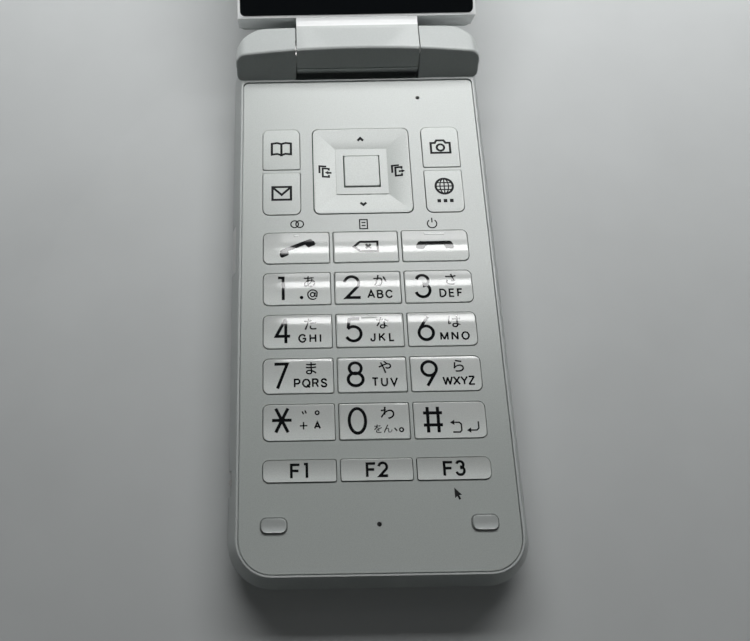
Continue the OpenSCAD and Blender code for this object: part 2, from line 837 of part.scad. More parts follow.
// Rocking plate under the four-way key: it tips on the board and carries the ring's own fulcrum
module nav_hub() {
  low_z = dome_z + fulcrum_gap;
  color("lightgray") translate([0, nav_y, 0]) {
    translate([0, 0, hub_z]) linear_extrude(hub_t) difference() {
      square(hub_w, center = true);
      square(hub_hole, center = true);
    }
    for (s = [-1, 1]) {
      box(around(s * foot_x, foot_w), around(0, fulcrum_w), [low_z, hub_z]);
      box(around(0, fulcrum_w), around(s * (hub_hole + hub_w) / 4, fulcrum_l),
        [hub_z + hub_t, ring_z - fulcrum_gap]);
    }
  }
}

// Four-way key: four facets that slope in to a flat floor round the centre key
module nav_ring() {
  top_z = base_t + nav_rise;
  floor_z = top_z - nav_dish;
  color("gainsboro") translate([0, nav_y, 0]) difference() {
    translate([0, 0, ring_z]) linear_extrude(top_z - ring_z) even_rounded(nav_w, nav_w, nav_corner);
    nav_dish_cut(floor_z, top_z);
    translate([0, 0, ring_z - over]) linear_extrude(top_z - ring_z + 2 * over)
      square(ring_hole, center = true);
  }
}

// Shallow four-sided funnel, as a cone with four sides
module nav_dish_cut(floor_z, top_z) {
  rise = top_z - floor_z;
  half = nav_floor_w / 2;
  grow = (nav_w / 2 - half) * (rise + over) / rise;
  rotate(45) translate([0, 0, floor_z])
    cylinder(r1 = half * sqrt(2), r2 = (half + grow) * sqrt(2), h = rise + over, $fn = 4);
}

module nav_ok() {
  top_z = base_t + key_rise;
  color("gainsboro") translate([0, nav_y, post_z]) linear_extrude(top_z - post_z)
    even_rounded(ok_w, ok_w, ok_corner);
}

// Front case of the display half: side walls, window recess and the ledge behind the window
module lid_front_case() {
  color("white") opened() difference() {
    lid_block(lid_d, [lid_z, lid_split], lid_y);
    lid_block(lid_d - lid_rim, [lid_z - over, window_z], lid_y - lid_rim, panel_hinge_corner);
    lid_block(lid_cavity_d, [ledge_z, lid_split + over], lid_y - lid_wall);
    translate([0, display_mid_y, window_z - over]) linear_extrude(ledge_z - window_z + 2 * over)
      square([display_w + 2 * display_gap, display_l + 2 * display_gap], center = true);
    translate([0, receiver_y, window_z - over]) linear_extrude(ledge_z - window_z + 2 * over)
      square(receiver_size + 2 * display_gap * [1, 1], center = true);
    box(around(0, tongue_w + 2 * tongue_gap), [lid_y - 2 * lid_wall, lid_y + over],
      tongue_z + tongue_gap * [-1, 1]);
    for (at = lid_screw_at) translate([at[0], at[1], window_z - over])
      cylinder(r = screw_head_r + slip, h = ledge_z - window_z + 2 * over);
  }
}

// Outer case of the display half, with seats for the camera and sub display
module lid_rear_case() {
  color("white") opened() difference() {
    union() {
      difference() {
        translate([0, 0, lid_split]) intersection() {
          u_sweep([0, lid_edge_r], lid_y - lid_step, lid_turn_y) lid_side();
          x_extrude([-lid_w, lid_w]) lid_tail();
        }
        lid_block(lid_cavity_d - lid_step, [lid_split - over, roof_z], lid_y - lid_wall - lid_step);
      }
      for (at = lid_screw_at) translate([at[0], at[1], screw_post_z(at)])
        cylinder(r = lid_boss_r, h = roof_z + slip - screw_post_z(at));
    }
    for (at = lid_screw_at) translate([at[0], at[1], screw_post_z(at) - over])
      cylinder(r = screw_r, h = lid_screw_hole + over);
    translate([camera_x, camera_y, roof_z - over])
      cylinder(r = camera_lens_r + camera_lens_gap, h = lid_wall + 2 * over);
    translate([camera_x, camera_y, lid_top - glass_t])
      cylinder(r = camera_glass_r + slip, h = glass_t + over);
    translate([sub_x, camera_y, lid_top - glass_t]) linear_extrude(glass_t + over)
      even_rounded(sub_w + 2 * slip, sub_h + 2 * slip, sub_corner + slip);
    translate([sub_x, camera_y, roof_z - over]) linear_extrude(lid_wall + over)
      square([sub_w - 2 * sub_rim, sub_h - 2 * sub_rim], center = true);
  }
}

// End of the display half at the hinge, rounded towards its outer face
module lid_tail() {
  end_y = lid_y - lid_step;
  difference() {
    translate([lid_turn_y - lid_d - over, -over])
      square([end_y - lid_turn_y + lid_d + over, lid_edge_r + over]);
    translate([end_y, lid_edge_r]) corner_waste(lid_tail_r);
  }
}

// Where the rear case's screw posts start: behind the barrel's tongue or the ledge
function screw_post_z(at) = at[1] > 0 ? tongue_z[1] : ledge_z;

module display_window() {
  edge = lid_rim + window_gap;
  color("black") opened() difference() {
    lid_block(lid_d - edge, [lid_z + window_gap, window_z], lid_y - edge, panel_hinge_corner);
    translate([0, receiver_y, lid_z - over]) linear_extrude(window_t + 2 * over)
      even_rounded(slot_w, slot_h, slot_corner);
  }
}

module display_module() {
  color("darkslategray") opened() translate([0, display_mid_y, window_z]) linear_extrude(display_t)
    square([display_w, display_l], center = true);
}

// Turning middle of the hinge, its neck and the tongue that is screwed into the display half
module hinge_barrel() {
  color("white") difference() {
    union() {
      x_rod(core_r, [-barrel_x, barrel_x]);
      intersection() {
        x_extrude([-barrel_x, barrel_x]) intersection() {
          behind_front(axis_z);
          translate([case_y, axis_z + shelf_lift]) square([shelf_l, cap_r]);
        }
        crown();
      }
      opened() {
        box(around(0, barrel_w - 2 * slip), [lid_y, axis_y], [lid_z, lid_z + neck_t]);
        box(around(0, tongue_w), [lid_y - tongue_l, lid_y], tongue_z);
      }
    }
    x_rod(bore_r, [-barrel_x - over, barrel_x + over]);
    opened() {
      box(around(0, flex_w + 2 * flex_gap), [lid_y - tongue_l - over, axis_y], flex_z + slip * [-1, 1]);
      for (at = lid_screw_at) translate([at[0], at[1], tongue_z[0] - over])
        cylinder(r = screw_r, h = tongue_t + 2 * over);
    }
  }
}

// Flexible circuit: a roll in the barrel, a thin roll through the bush and a tail to the lid board
module hinge_flex() {
  roll_r = pivot_r - flex_gap;
  thin_r = bush_bore_r - flex_gap;
  wall = 2 * flex_t;
  tail_end = lid_y - tongue_l - flex_gap;
  tail_w = around(0, flex_w);
  color("orange") {
    difference() {
      union() {
        x_rod(roll_r, [-insert_in + flex_gap, insert_in - flex_gap]);
        x_rod(thin_r, [-insert_out, -insert_in + 2 * flex_gap]);
      }
      x_rod(thin_r - wall, [-insert_out - over, insert_in]);
    }
    opened() {
      box(tail_w, [tail_end, axis_y - thin_r], flex_z);
      box(tail_w, [tail_end - flex_t, tail_end], [flex_z[0], lid_board_z]);
      box(tail_w, [tail_end - flex_w, tail_end], [lid_board_z - flex_t, lid_board_z]);
    }
  }
}

module lid_board() {
  mid_y = lid_y - lid_board_in - lid_board_size[1] / 2;
  color("darkgreen") opened() translate([0, mid_y, lid_board_z]) linear_extrude(board_t)
    square(lid_board_size, center = true);
}

module receiver() {
  color("dimgray") opened() translate([0, receiver_y, window_z]) linear_extrude(receiver_t)
    even_rounded(receiver_size[0], receiver_size[1], receiver_corner);
}

module receiver_mesh() {
  color("darkgray") opened() translate([0, receiver_y, lid_z + mesh_drop])
    linear_extrude(window_t - mesh_drop) even_rounded(slot_w - slip, slot_h - slip, slot_corner - slip);
}

module camera_module() {
  base_z = lid_board_z + board_t;
  color("dimgray") opened() translate([camera_x, camera_y, base_z]) {
    linear_extrude(roof_z - slip - base_z) square(camera_size, center = true);
    cylinder(r = camera_lens_r, h = lid_top - glass_t - base_z);
  }
}

module camera_window() {
  color("black") opened() translate([camera_x, camera_y, lid_top - glass_t])
    cylinder(r = camera_glass_r, h = glass_t);
}

module sub_display() {
  base_z = lid_board_z + board_t;
  size = [sub_w - 2 * sub_corner, sub_h - 2 * sub_rim] + sub_rim * [1, 1];
  color("darkslategray") opened() translate([sub_x, camera_y, base_z])
    linear_extrude(roof_z - slip - base_z) square(size, center = true);
}

module sub_display_window() {
  color("black") opened() translate([sub_x, camera_y, lid_top - glass_t]) linear_extrude(glass_t)
    even_rounded(sub_w, sub_h, sub_corner);
}

module lid_screws() {
  color("silver") opened() for (at = lid_screw_at) translate([at[0], at[1], window_z + window_gap]) {
    cylinder(r = screw_head_r, h = ledge_t - window_gap);
    cylinder(r = screw_r - screw_fit, h = screw_post_z(at) + lid_screw_bite - window_z);
  }
}

base_front_case();
keypad_panel();
base_rear_case();
hinge_cap_left();
hinge_cap_right();
main_board();
dome_switches();
key_mat();
battery();
battery_cover();
charging_socket();
port_cover();
loudspeaker();
microphones();
vibration_motor();
bumper_pads();
base_screws();
click_hinge();
hinge_bush();
card_socket();
strap_pin();
lid_front_case();
lid_rear_case();
display_window();
display_module();
hinge_barrel();
lid_board();
receiver();
receiver_mesh();
camera_module();
camera_window();
sub_display();
sub_display_window();
lid_screws();
hinge_flex();
nav_hub();
nav_ring();
nav_ok();
for (s = [0, 1]) for (i = [0, 1])
  shortcut_key(s, i);
for (r = [0 : 5]) for (c = [0 : 2])
  number_key(r, c);
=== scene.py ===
"""White folding keypad phone, lying open on a pale table with its display half tilted up."""
import json
import math

import bpy
from mathutils import Matrix, Vector


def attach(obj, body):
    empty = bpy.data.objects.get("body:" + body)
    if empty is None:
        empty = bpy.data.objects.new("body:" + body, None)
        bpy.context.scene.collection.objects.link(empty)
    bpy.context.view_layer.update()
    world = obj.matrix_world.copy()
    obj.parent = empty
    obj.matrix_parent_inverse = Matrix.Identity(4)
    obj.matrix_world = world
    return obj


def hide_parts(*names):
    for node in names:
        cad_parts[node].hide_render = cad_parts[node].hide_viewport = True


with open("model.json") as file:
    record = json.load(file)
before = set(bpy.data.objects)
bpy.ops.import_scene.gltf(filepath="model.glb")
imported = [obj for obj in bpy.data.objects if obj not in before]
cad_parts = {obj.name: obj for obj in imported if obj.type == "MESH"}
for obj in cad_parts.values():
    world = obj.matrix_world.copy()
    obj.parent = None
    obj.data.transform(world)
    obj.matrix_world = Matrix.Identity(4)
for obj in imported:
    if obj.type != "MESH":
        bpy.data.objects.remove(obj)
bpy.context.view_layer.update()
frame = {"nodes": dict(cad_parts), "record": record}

# Pieces are shaped in millimetres and brought to metres when they are finished
MM = 0.001

# Keypad half: the far corners of its outlines turn about these centres
TURN_X = 18.4
TURN_Y = -44.0
CASE_END = 50.45
PANEL_FACE = 9.2
PANEL_BACK = 8.7
RIM_TOP = 9.3
RIM_WIDTH = 0.4
RIM_SOFT = 0.22
RIM_STEPS = 4
RIM_REACH = 6.3
SIDE_BULGE = 1.7
BULGE_REACH = RIM_REACH + SIDE_BULGE
BULGE_Z = 4.6
PARTING_Z = 3.03
PARTING_IN = 0.287
LEDGE = 1.1
RECESS_CORNER = 1.1
RECESS_STEPS = 6
OUTLINE_STEPS = 20
TAIL_STEPS = 16
TAIL_IN = 0.2
SHELL_SOFT = 0.1
PORT_OPENING = ((-28, -22), (6.85, 17.15), (3.3, 6.9))
STRAP_NOTCH = ((-28, -24), (-36.3, -31.7), (3.5, 6.3))

# Hinge
AXIS_Y = 55.6
AXIS_Z = 11.05
BARREL_X = 12.85
KNUCKLE_X = (13.05, 25.7)
KNUCKLE_R = 5.6
KNUCKLE_CORNER = 8.5
KNUCKLE_DEPTH = 7.2
REAR_Y = AXIS_Y + KNUCKLE_R
POCKET_R = 5.5
CORE_R = 3.9
FRONT_LEAN = math.tan(math.radians(32))
CREASE_BACK = 1.75
CROWN_RISE = 3.95
CROWN_R = 290
CROWN_FALL = math.radians(6)
SHOULDER_R = 2.02
END_ROUND = 0.6
KNUCKLE_SOFT = 0.75
KNUCKLE_SMOOTH = 32
SOFT_SHARE = 0.4
SOFT_STEPS = 5
FRONT_GAP = 0.05
FOOT_SINK = 0.05
WALL_STEPS = 8
LEAD_IN = 2
TURN_STEPS = 20
LAST_TURN = 85
END_SOFT = 0.1
CUTTER_X = 10
CUTTER_LEAD = 3
CUTTER_DEPTH = 16
CLEAR = 1
WAIST_R = 1.0
WAIST_IN = 0.12
NOTCH_Z = 11.4
GROOVE = 0.22
SEAM_Z = AXIS_Z + 0.17
VALLEY_R = 1.3
CREASE_SOFT = 0.45
CREASE_LOW = AXIS_Z + 2
CORE_ARC = (-32.6, -182.5)
CORE_STEPS = 24
BARREL_STEPS = 12
BARREL_SOFT = 0.12
BARREL_EDGE = 25
POCKET_CORNERS = 48
RAMP_START = (54.5, 0)
RAMP_TOUCH = (60.13, 7.76)
OPEN_TURN = math.radians(160)

# Display half, as it lies when closed
LID_HALF = 25.2
LID_REACH = 6.8
LID_Z = 9.75
LID_SPLIT = 14.75
LID_Y = 48.2
LID_FAR = -50.8
LID_RIM = 0.5
WINDOW_DEPTH = 1.0
LID_WALL = 1.2
LID_LEDGE = 11.35
LID_SOFT = 0.12
WINDOW_CORNER = 1.0
NECK_T = 4.4
NECK_START = 59.5
NECK_LEAN = 0.08
NECK_UP = 0.3

# Keys
KEY_TOP = 9.47
KEY_FOOT = 8.3
KEY_CROWN = 45
SHORTCUT_CROWN = 90
COLUMN_X = 13.525
FIRST_ROW = 10.75
ROW_PITCH = 8.66
MID_KEY = 12.55
SIDE_KEY = 12.8
KEY_DEPTH = 6.6
F_KEY_DEPTH = 3.8
KEY_CORNER = 1.05
KEY_SQUARE = 0.3
CORNER_STEPS = 8
SQUARE_STEPS = 3
CROWN_STEPS = 12
SHORTCUT_X = 16.3
SHORTCUT_SIZE = (7.45, 9.45)
SHORTCUT_STEP = 5.15
SHORTCUT_CORNER = 1.25
NAV_Y = 28.0
NAV_W = 19.6
NAV_FLOOR = 10.5
NAV_TOP = 9.35
NAV_DISH = 0.65
NAV_RIM = 0.3
NAV_STEP = 0.14
NAV_FOOT = 8.4
NAV_CORNER = 1.3
NAV_SOFT = 0.1
NAV_EDGE = 24
OK_W = 7.1
OK_TOP = 9.1
OK_GAP = 0.175
OK_CORNER = 0.4
OK_SOFT = 0.2
MARK_IN = 0.7
MARK_DEPTH = 0.5
MARK_RISE = 0.06
MARK_SOFT = 0.1
TOUCH_MARKS = {"key_call": 0.9, "key_end": 4.0, "key_5": 3.0}
KEY_SOFT = 0.24
KEY_SOFT_STEPS = 4
KEY_EDGE = 40
# How far below the crowned top a key's rim starts to take the painted highlight
PAINTED_RIM_FALL = 0.03

# Pads that the display half closes onto
PAD_AT = (18.1, -41.8)
PAD_SIZE = (4.3, 2.4)
PAD_CORNER = 0.9
PAD_TOP = 9.7
PAD_CROWN = 8
PAD_SOFT = 0.32
# The wells are dark rings of painted shade round the pads
WELL_SIZE = (4.8, 2.9)
WELL_CORNER = 1.1
WELL_RISE = 0.02
WELL_CROWN = 500
WELL_SOFT = 0.01

# How near two places count as the same, how level a face counts as flat, and the angle of a smooth edge
EXACT = 0.001
CLOSE = 0.01
NEAR = 0.05
FLAT = 0.9
SMOOTH_EDGE = 30


def use(piece):
    """Makes a piece the only selected one, and the active one."""
    bpy.ops.object.select_all(action="DESELECT")
    piece.select_set(True)
    bpy.context.view_layer.objects.active = piece


def choose(piece, kind, test):
    """Opens a piece for editing with only the faces, edges or points selected that pass a test."""
    use(piece)
    bpy.ops.object.mode_set(mode="EDIT")
    bpy.ops.mesh.select_mode(type=kind)
    bpy.ops.mesh.select_all(action="DESELECT")
    bpy.ops.object.mode_set(mode="OBJECT")
    mesh = piece.data
    spots = [point.co for point in mesh.vertices]
    if kind == "FACE":
        for face in mesh.polygons:
            face.select = test(face.center, face.normal)
    elif kind == "EDGE":
        for edge in mesh.edges:
            edge.select = test(spots[edge.vertices[0]], spots[edge.vertices[1]])
    else:
        for point in mesh.vertices:
            point.select = test(point.co)
    bpy.ops.object.mode_set(mode="EDIT")


def close_edit():
    bpy.ops.object.mode_set(mode="OBJECT")


def anything(*spots):
    return True


def faces_up(centre, normal):
    return normal.z > FLAT


def faces_down(centre, normal):
    return normal.z < -FLAT


def raise_faces(step):
    """Extrudes the chosen faces upwards, or downwards by a negative step."""
    bpy.ops.mesh.extrude_region_move(TRANSFORM_OT_translate={"value": (0, 0, step)})


def score_rows(start, depth, rows):
    """Scores even lines across the piece that is open for editing."""
    for row in range(1, rows):
        bpy.ops.mesh.select_all(action="SELECT")
        bpy.ops.mesh.bisect(plane_co=(0, start + depth * row / rows, 0), plane_no=(0, 1, 0))
    close_edit()


def close_outwards():
    """Turns all faces outwards and ends the editing."""
    bpy.ops.mesh.select_all(action="SELECT")
    bpy.ops.mesh.normals_make_consistent(inside=False)
    close_edit()


def block(name, x, y, z):
    """A box between three pairs of limits."""
    middle = [(low + high) / 2 for low, high in (x, y, z)]
    bpy.ops.mesh.primitive_cube_add(size=1, location=middle)
    piece = bpy.context.object
    piece.name = name
    piece.scale = (x[1] - x[0], y[1] - y[0], z[1] - z[0])
    bpy.ops.object.transform_apply()
    return piece


def drawn_face(name, corners):
    """One flat face with the given corners."""
    bpy.ops.mesh.primitive_circle_add(vertices=len(corners), fill_type="NGON")
    piece = bpy.context.object
    piece.name = name
    for point, spot in zip(piece.data.vertices, corners):
        point.co = spot
    return piece


def prism(name, corners, step):
    """A flat face extruded by a step."""
    piece = drawn_face(name, corners)
    bpy.ops.object.mode_set(mode="EDIT")
    bpy.ops.mesh.select_all(action="SELECT")
    bpy.ops.mesh.extrude_region_move(TRANSFORM_OT_translate={"value": step})
    close_outwards()
    return piece


def loft(name, rings):
    """Joins outlines with equal numbers of corners into one closed body."""
    piece = drawn_face(name, rings[0])
    choose(piece, "FACE", anything)
    for last, ring in zip(rings, rings[1:]):
        bpy.ops.mesh.extrude_region_move()
        close_edit()
        for point in piece.data.vertices:
            if point.select:
                nearest = min(range(len(last)), key=lambda i: (point.co - Vector(last[i])).length)
                point.co = ring[nearest]
        bpy.ops.object.mode_set(mode="EDIT")
    close_outwards()
    return piece


def arc(centre, radius, start, end, steps):
    """Points on an arc, with its angles in degrees."""
    turns = [math.radians(start + (end - start) * i / steps) for i in range(steps + 1)]
    return [(centre[0] + radius * math.cos(t), centre[1] + radius * math.sin(t)) for t in turns]


def circle(centre, radius, corners):
    """Points round a full circle."""
    return arc(centre, radius, 0, 360 - 360 / corners, corners - 1)


def round_edges(piece, radius, segments, test):
    """Rounds the edges that pass a test."""
    choose(piece, "EDGE", test)
    bpy.ops.mesh.bevel(offset=radius, segments=segments, affect="EDGES")
    close_edit()


def upright_at(x, y):
    """Test for upright edges near a place seen from above; None lets a coordinate be anything."""
    def test(a, b):
        if (a - b).xy.length > CLOSE:
            return False
        return (x is None or abs(a.x - x) < NEAR) and (y is None or abs(a.y - y) < NEAR)
    return test


def cut(piece, spot, normal, fill=True):
    """Cuts away what lies beyond a plane, or only scores its line where fill is off."""
    choose(piece, "FACE", anything)
    bpy.ops.mesh.bisect(plane_co=spot, plane_no=normal, use_fill=fill, clear_outer=fill)
    close_edit()


def carve(piece, cutter, operation="DIFFERENCE"):
    """Cuts one body with another, which is then thrown away."""
    use(piece)
    tool = piece.modifiers.new("carve", "BOOLEAN")
    tool.operation = operation
    tool.solver = "EXACT"
    tool.object = cutter
    bpy.ops.object.modifier_apply(modifier="carve")
    bpy.data.objects.remove(cutter, do_unlink=True)


def soften(piece, width, angle=SMOOTH_EDGE, segments=3):
    """Rounds the sharp edges and smooths the shading."""
    use(piece)
    tool = piece.modifiers.new("soft", "BEVEL")
    tool.width = width
    tool.segments = segments
    tool.limit_method = "ANGLE"
    tool.angle_limit = math.radians(angle)
    tool.miter_outer = "MITER_ARC"
    bpy.ops.object.modifier_apply(modifier="soft")
    bpy.ops.object.shade_smooth_by_angle(angle=math.radians(angle))


def finish_piece(piece, body, material, replaced=()):
    """Brings a piece to metres, gives it its finish and sets it on its body."""
    use(piece)
    if replaced:
        piece.modifiers.new("even", "WEIGHTED_NORMAL").keep_sharp = True
        bpy.ops.object.modifier_apply(modifier="even")
    piece.scale = (MM, MM, MM)
    bpy.ops.object.transform_apply()
    piece.data.name = piece.name
    piece.data.materials.clear()
    piece.data.materials.append(material)
    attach(piece, body)
    if replaced:
        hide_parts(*replaced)
    return piece


# Grain of every finish
GRAIN_DETAIL = 3
GRAIN_STOPS = (0.3, 0.7)
GRAIN_HEIGHT = 0.00002


def finish(name, colour, grain, tones, rough, bump=0, **sockets):
    """A finish whose fine grain varies its tone, roughness and height; other sockets are given by name."""
    material = bpy.data.materials.new(name)
    material.use_nodes = True
    nodes = material.node_tree.nodes
    links = material.node_tree.links
    shader = nodes["Principled BSDF"]
    for socket, value in sockets.items():
        shader.inputs[socket.replace("_", " ").title().replace("Ior", "IOR")].default_value = value
    place = nodes.new("ShaderNodeTexCoord")
    noise = nodes.new("ShaderNodeTexNoise")
    noise.inputs["Scale"].default_value = grain
    noise.inputs["Detail"].default_value = GRAIN_DETAIL
    links.new(place.outputs["Object"], noise.inputs["Vector"])
    ramp = nodes.new("ShaderNodeValToRGB")
    for stop, spot, tone in zip(ramp.color_ramp.elements, GRAIN_STOPS, tones):
        stop.position = spot
        stop.color = (colour[0] * tone, colour[1] * tone, colour[2] * tone, 1)
    links.new(noise.outputs["Fac"], ramp.inputs["Fac"])
    links.new(ramp.outputs["Color"], shader.inputs["Base Color"])
    spread = nodes.new("ShaderNodeMapRange")
    spread.inputs["To Min"].default_value = rough[0]
    spread.inputs["To Max"].default_value = rough[1]
    links.new(noise.outputs["Fac"], spread.inputs["Value"])
    links.new(spread.outputs["Result"], shader.inputs["Roughness"])
    height = nodes.new("ShaderNodeBump")
    height.inputs["Strength"].default_value = bump
    height.inputs["Distance"].default_value = GRAIN_HEIGHT
    links.new(noise.outputs["Fac"], height.inputs["Height"])
    links.new(height.outputs["Normal"], shader.inputs["Normal"])
    return material


def add_painted_front_light(material, tones):
    """Paints light into a clear cap's colour: lighter from its rear edge to its front edge, as its curve
    gathers light there, and brightest on its rims; a painted glow and painted highlight.
    """
    nodes = material.node_tree.nodes
    links = material.node_tree.links
    shader = nodes["Principled BSDF"]
    grain = shader.inputs["Base Color"].links[0].from_socket
    place = nodes.new("ShaderNodeAttribute")
    place.attribute_name = "front"
    reach = nodes.new("ShaderNodeMapRange")
    reach.inputs["From Min"].default_value = -1
    links.new(place.outputs["Fac"], reach.inputs["Value"])
    painted_light = nodes.new("ShaderNodeValToRGB")
    stops = painted_light.color_ramp.elements
    while len(stops) < len(tones):
        stops.new(0.5)
    for stop, (spot, tone) in zip(stops, tones):
        stop.position = spot
        stop.color = (tone, tone, tone, 1)
    links.new(reach.outputs["Result"], painted_light.inputs["Fac"])
    blend = nodes.new("ShaderNodeVectorMath")
    blend.operation = "MULTIPLY"
    links.new(grain, blend.inputs[0])
    links.new(painted_light.outputs["Color"], blend.inputs[1])
    links.new(blend.outputs["Vector"], shader.inputs["Base Color"])
    return material


# Finishes
white_case = finish("pearl_lacquer", (0.53, 0.56, 0.55), grain=2600, tones=(0.97, 1.03), rough=(0.32, 0.4),
                    bump=0.03, coat_weight=0.2)
white_frame = finish("white_gloss", (0.9, 0.92, 0.92), grain=900, tones=(0.99, 1.01), rough=(0.22, 0.28),
                     bump=0.02, coat_weight=0.3)
panel_pearl = finish("pearl_panel", (0.475, 0.51, 0.49), grain=5200, tones=(0.93, 1.06), rough=(0.27, 0.33),
                     bump=0.08, specular_ior_level=0.85)
key_satin = finish("pearl_key", (0.55, 0.587, 0.564), grain=5200, tones=(0.93, 1.06), rough=(0.22, 0.28),
                   bump=0.08, specular_ior_level=0.75)
key_resin = finish("clear_over_pearl", (0.88, 0.92, 0.89), grain=5200, tones=(0.93, 1.05), rough=(0.28, 0.35),
                   bump=0.05, coat_weight=1.0, coat_roughness=0.07)
ink = finish("black_ink", (0.008, 0.009, 0.01), grain=3000, tones=(0.9, 1.1), rough=(0.36, 0.44),
             coat_weight=1.0, coat_roughness=0.05, specular_ior_level=0.0)
satin_ink = finish("satin_ink", (0.008, 0.009, 0.01), grain=3000, tones=(0.9, 1.1), rough=(0.45, 0.55),
                   specular_ior_level=0.15)
black_glass = finish("black_glass", (0.004, 0.005, 0.006), grain=300, tones=(0.95, 1.05), rough=(0.04, 0.07))
pad_rubber = finish("pad_rubber", (0.7, 0.71, 0.7), grain=2500, tones=(0.96, 1.03), rough=(0.25, 0.4),
                    bump=0.05)
clear_pad = finish("clear_pad", (0.85, 0.9, 0.88), grain=2500, tones=(0.97, 1.03), rough=(0.26, 0.36),
                   bump=0.03, coat_weight=1.0, coat_roughness=0.08)
mat_rubber = finish("mat_rubber", (0.35, 0.36, 0.36), grain=2500, tones=(0.92, 1.06), rough=(0.5, 0.7),
                    bump=0.1)
board_green = finish("board_lacquer", (0.02, 0.12, 0.05), grain=1200, tones=(0.8, 1.15), rough=(0.3, 0.5),
                     bump=0.1)
steel = finish("brushed_steel", (0.55, 0.55, 0.54), grain=1800, tones=(0.9, 1.06), rough=(0.22, 0.4),
               bump=0.05, metallic=1.0)
cell_wrap = finish("cell_wrap", (0.16, 0.19, 0.22), grain=1500, tones=(0.9, 1.08), rough=(0.38, 0.52),
                   bump=0.05)
dark_plastic = finish("dark_plastic", (0.03, 0.031, 0.032), grain=2200, tones=(0.85, 1.15), rough=(0.42, 0.6),
                      bump=0.15)
display_dark = finish("display_glass", (0.012, 0.016, 0.018), grain=800, tones=(0.9, 1.1), rough=(0.1, 0.15))
flex_amber = finish("flex_film", (0.45, 0.19, 0.04), grain=1500, tones=(0.9, 1.1), rough=(0.28, 0.42),
                    bump=0.03)
# Dark finish of the painted shade round the pads
well_shade = finish("well_shade", (0.17, 0.18, 0.175), grain=2500, tones=(0.95, 1.05), rough=(0.45, 0.55),
                    specular_ior_level=0.2)
# Painted light on the keys and the clear pads: lighter towards their front edges, brightest on their rims
add_painted_front_light(key_resin, ((0, 0.5), (0.5, 0.72), (0.8, 0.92), (1, 1)))
add_painted_front_light(clear_pad, ((0, 0.4), (0.5, 0.55), (0.75, 0.75), (1, 1)))
SLOT_FINISH = {
    "white_case": white_case, "keypad_panel": panel_pearl, "keys": key_resin, "black_glass": black_glass,
    "white_rubber": pad_rubber, "grey_rubber": mat_rubber, "board": board_green, "steel": steel,
    "battery": cell_wrap, "dark_plastic": dark_plastic, "display": display_dark, "flex": flex_amber,
}


def dress_cad_nodes():
    """Gives each carried-over node the finish of its slot in the record; the microphones take dark plastic
    instead, painted shade that keeps their hole dark.
    """
    for part in frame["record"]["subparts"]:
        node = part["node"]
        materials = frame["nodes"][node].data.materials
        materials.clear()
        # The microphones' dark plastic is painted shade in their hole
        materials.append(dark_plastic if node == "microphones" else SLOT_FINISH[part["material_slot"]])


def make_shell():
    """Upper shell of the keypad half: side walls, rim, panel recess and the tail under the hinge."""
    half = TURN_X + BULGE_REACH
    far_y = TURN_Y - BULGE_REACH
    end_y = REAR_Y - TAIL_IN + SIDE_BULGE
    shell = block("keypad_shell", (-half, half), (far_y, end_y), (PARTING_Z, BULGE_Z))
    round_edges(shell, BULGE_REACH, OUTLINE_STEPS, upright_at(None, far_y))
    round_edges(shell, KNUCKLE_CORNER + SIDE_BULGE, TAIL_STEPS, upright_at(None, end_y))
    choose(shell, "FACE", faces_down)
    shrink = (1 - PARTING_IN / half, 1 - PARTING_IN / ((end_y - far_y) / 2), 1)
    bpy.ops.transform.resize(value=shrink)
    close_edit()
    choose(shell, "FACE", faces_up)
    bpy.ops.mesh.inset(thickness=SIDE_BULGE, depth=RIM_TOP - BULGE_Z)
    close_edit()
    cut(shell, (0, CASE_END, 0), (0, 1, 0), fill=False)
    choose(shell, "FACE", lambda centre, normal: faces_up(centre, normal) and centre.y < CASE_END)
    bpy.ops.mesh.inset(thickness=RIM_WIDTH)
    raise_faces(PANEL_BACK - RIM_TOP)
    bpy.ops.mesh.inset(thickness=LEDGE)
    raise_faces(PARTING_Z - PANEL_BACK)
    bpy.ops.mesh.delete(type="ONLY_FACE")
    close_edit()
    choose(shell, "FACE", lambda centre, normal: faces_down(centre, normal) and centre.y < CASE_END)
    bpy.ops.mesh.delete(type="ONLY_FACE")
    close_edit()
    choose(shell, "EDGE", on_parting_loop)
    bpy.ops.mesh.bridge_edge_loops()
    close_edit()
    round_edges(shell, RIM_SOFT, RIM_STEPS, on_rim_edge)
    inner = TURN_X + RIM_REACH - RIM_WIDTH
    for side in (inner, -inner):
        round_edges(shell, RECESS_CORNER, RECESS_STEPS, upright_at(side, CASE_END - RIM_WIDTH))
    return shell


def on_rim_edge(a, b):
    """Test for the rim's outer edge."""
    def near(spot):
        reach = math.hypot(max(abs(spot.x) - TURN_X, 0), max(TURN_Y - spot.y, 0))
        return abs(spot.z - RIM_TOP) < CLOSE and abs(reach - RIM_REACH) < NEAR
    return near(a) and near(b) and max(a.y, b.y) < CASE_END + CLOSE


def on_parting_loop(a, b):
    """Test for edges of the parting face's two loops."""
    level = max(abs(a.z - PARTING_Z), abs(b.z - PARTING_Z)) < EXACT
    return level and max(a.y, b.y) < CASE_END + CLOSE


def fall_away(x, radius):
    """How far a rounding of a radius has fallen away near the hinge's end."""
    into = min(max(0, x - KNUCKLE_X[1] + radius), radius)
    return radius - math.sqrt(radius ** 2 - into ** 2)


def crown_z(x, y):
    """Height of the hinge's arched top."""
    arch = CROWN_R - math.sqrt(CROWN_R ** 2 - x ** 2)
    shoulder = fall_away(abs(x), SHOULDER_R)
    return AXIS_Z + CROWN_RISE - arch - shoulder - (y - AXIS_Y + CREASE_BACK) * math.tan(CROWN_FALL)


def hinge_front(z):
    """Place of the hinge's leaning front at a height."""
    return CASE_END + (z - PANEL_FACE) * FRONT_LEAN


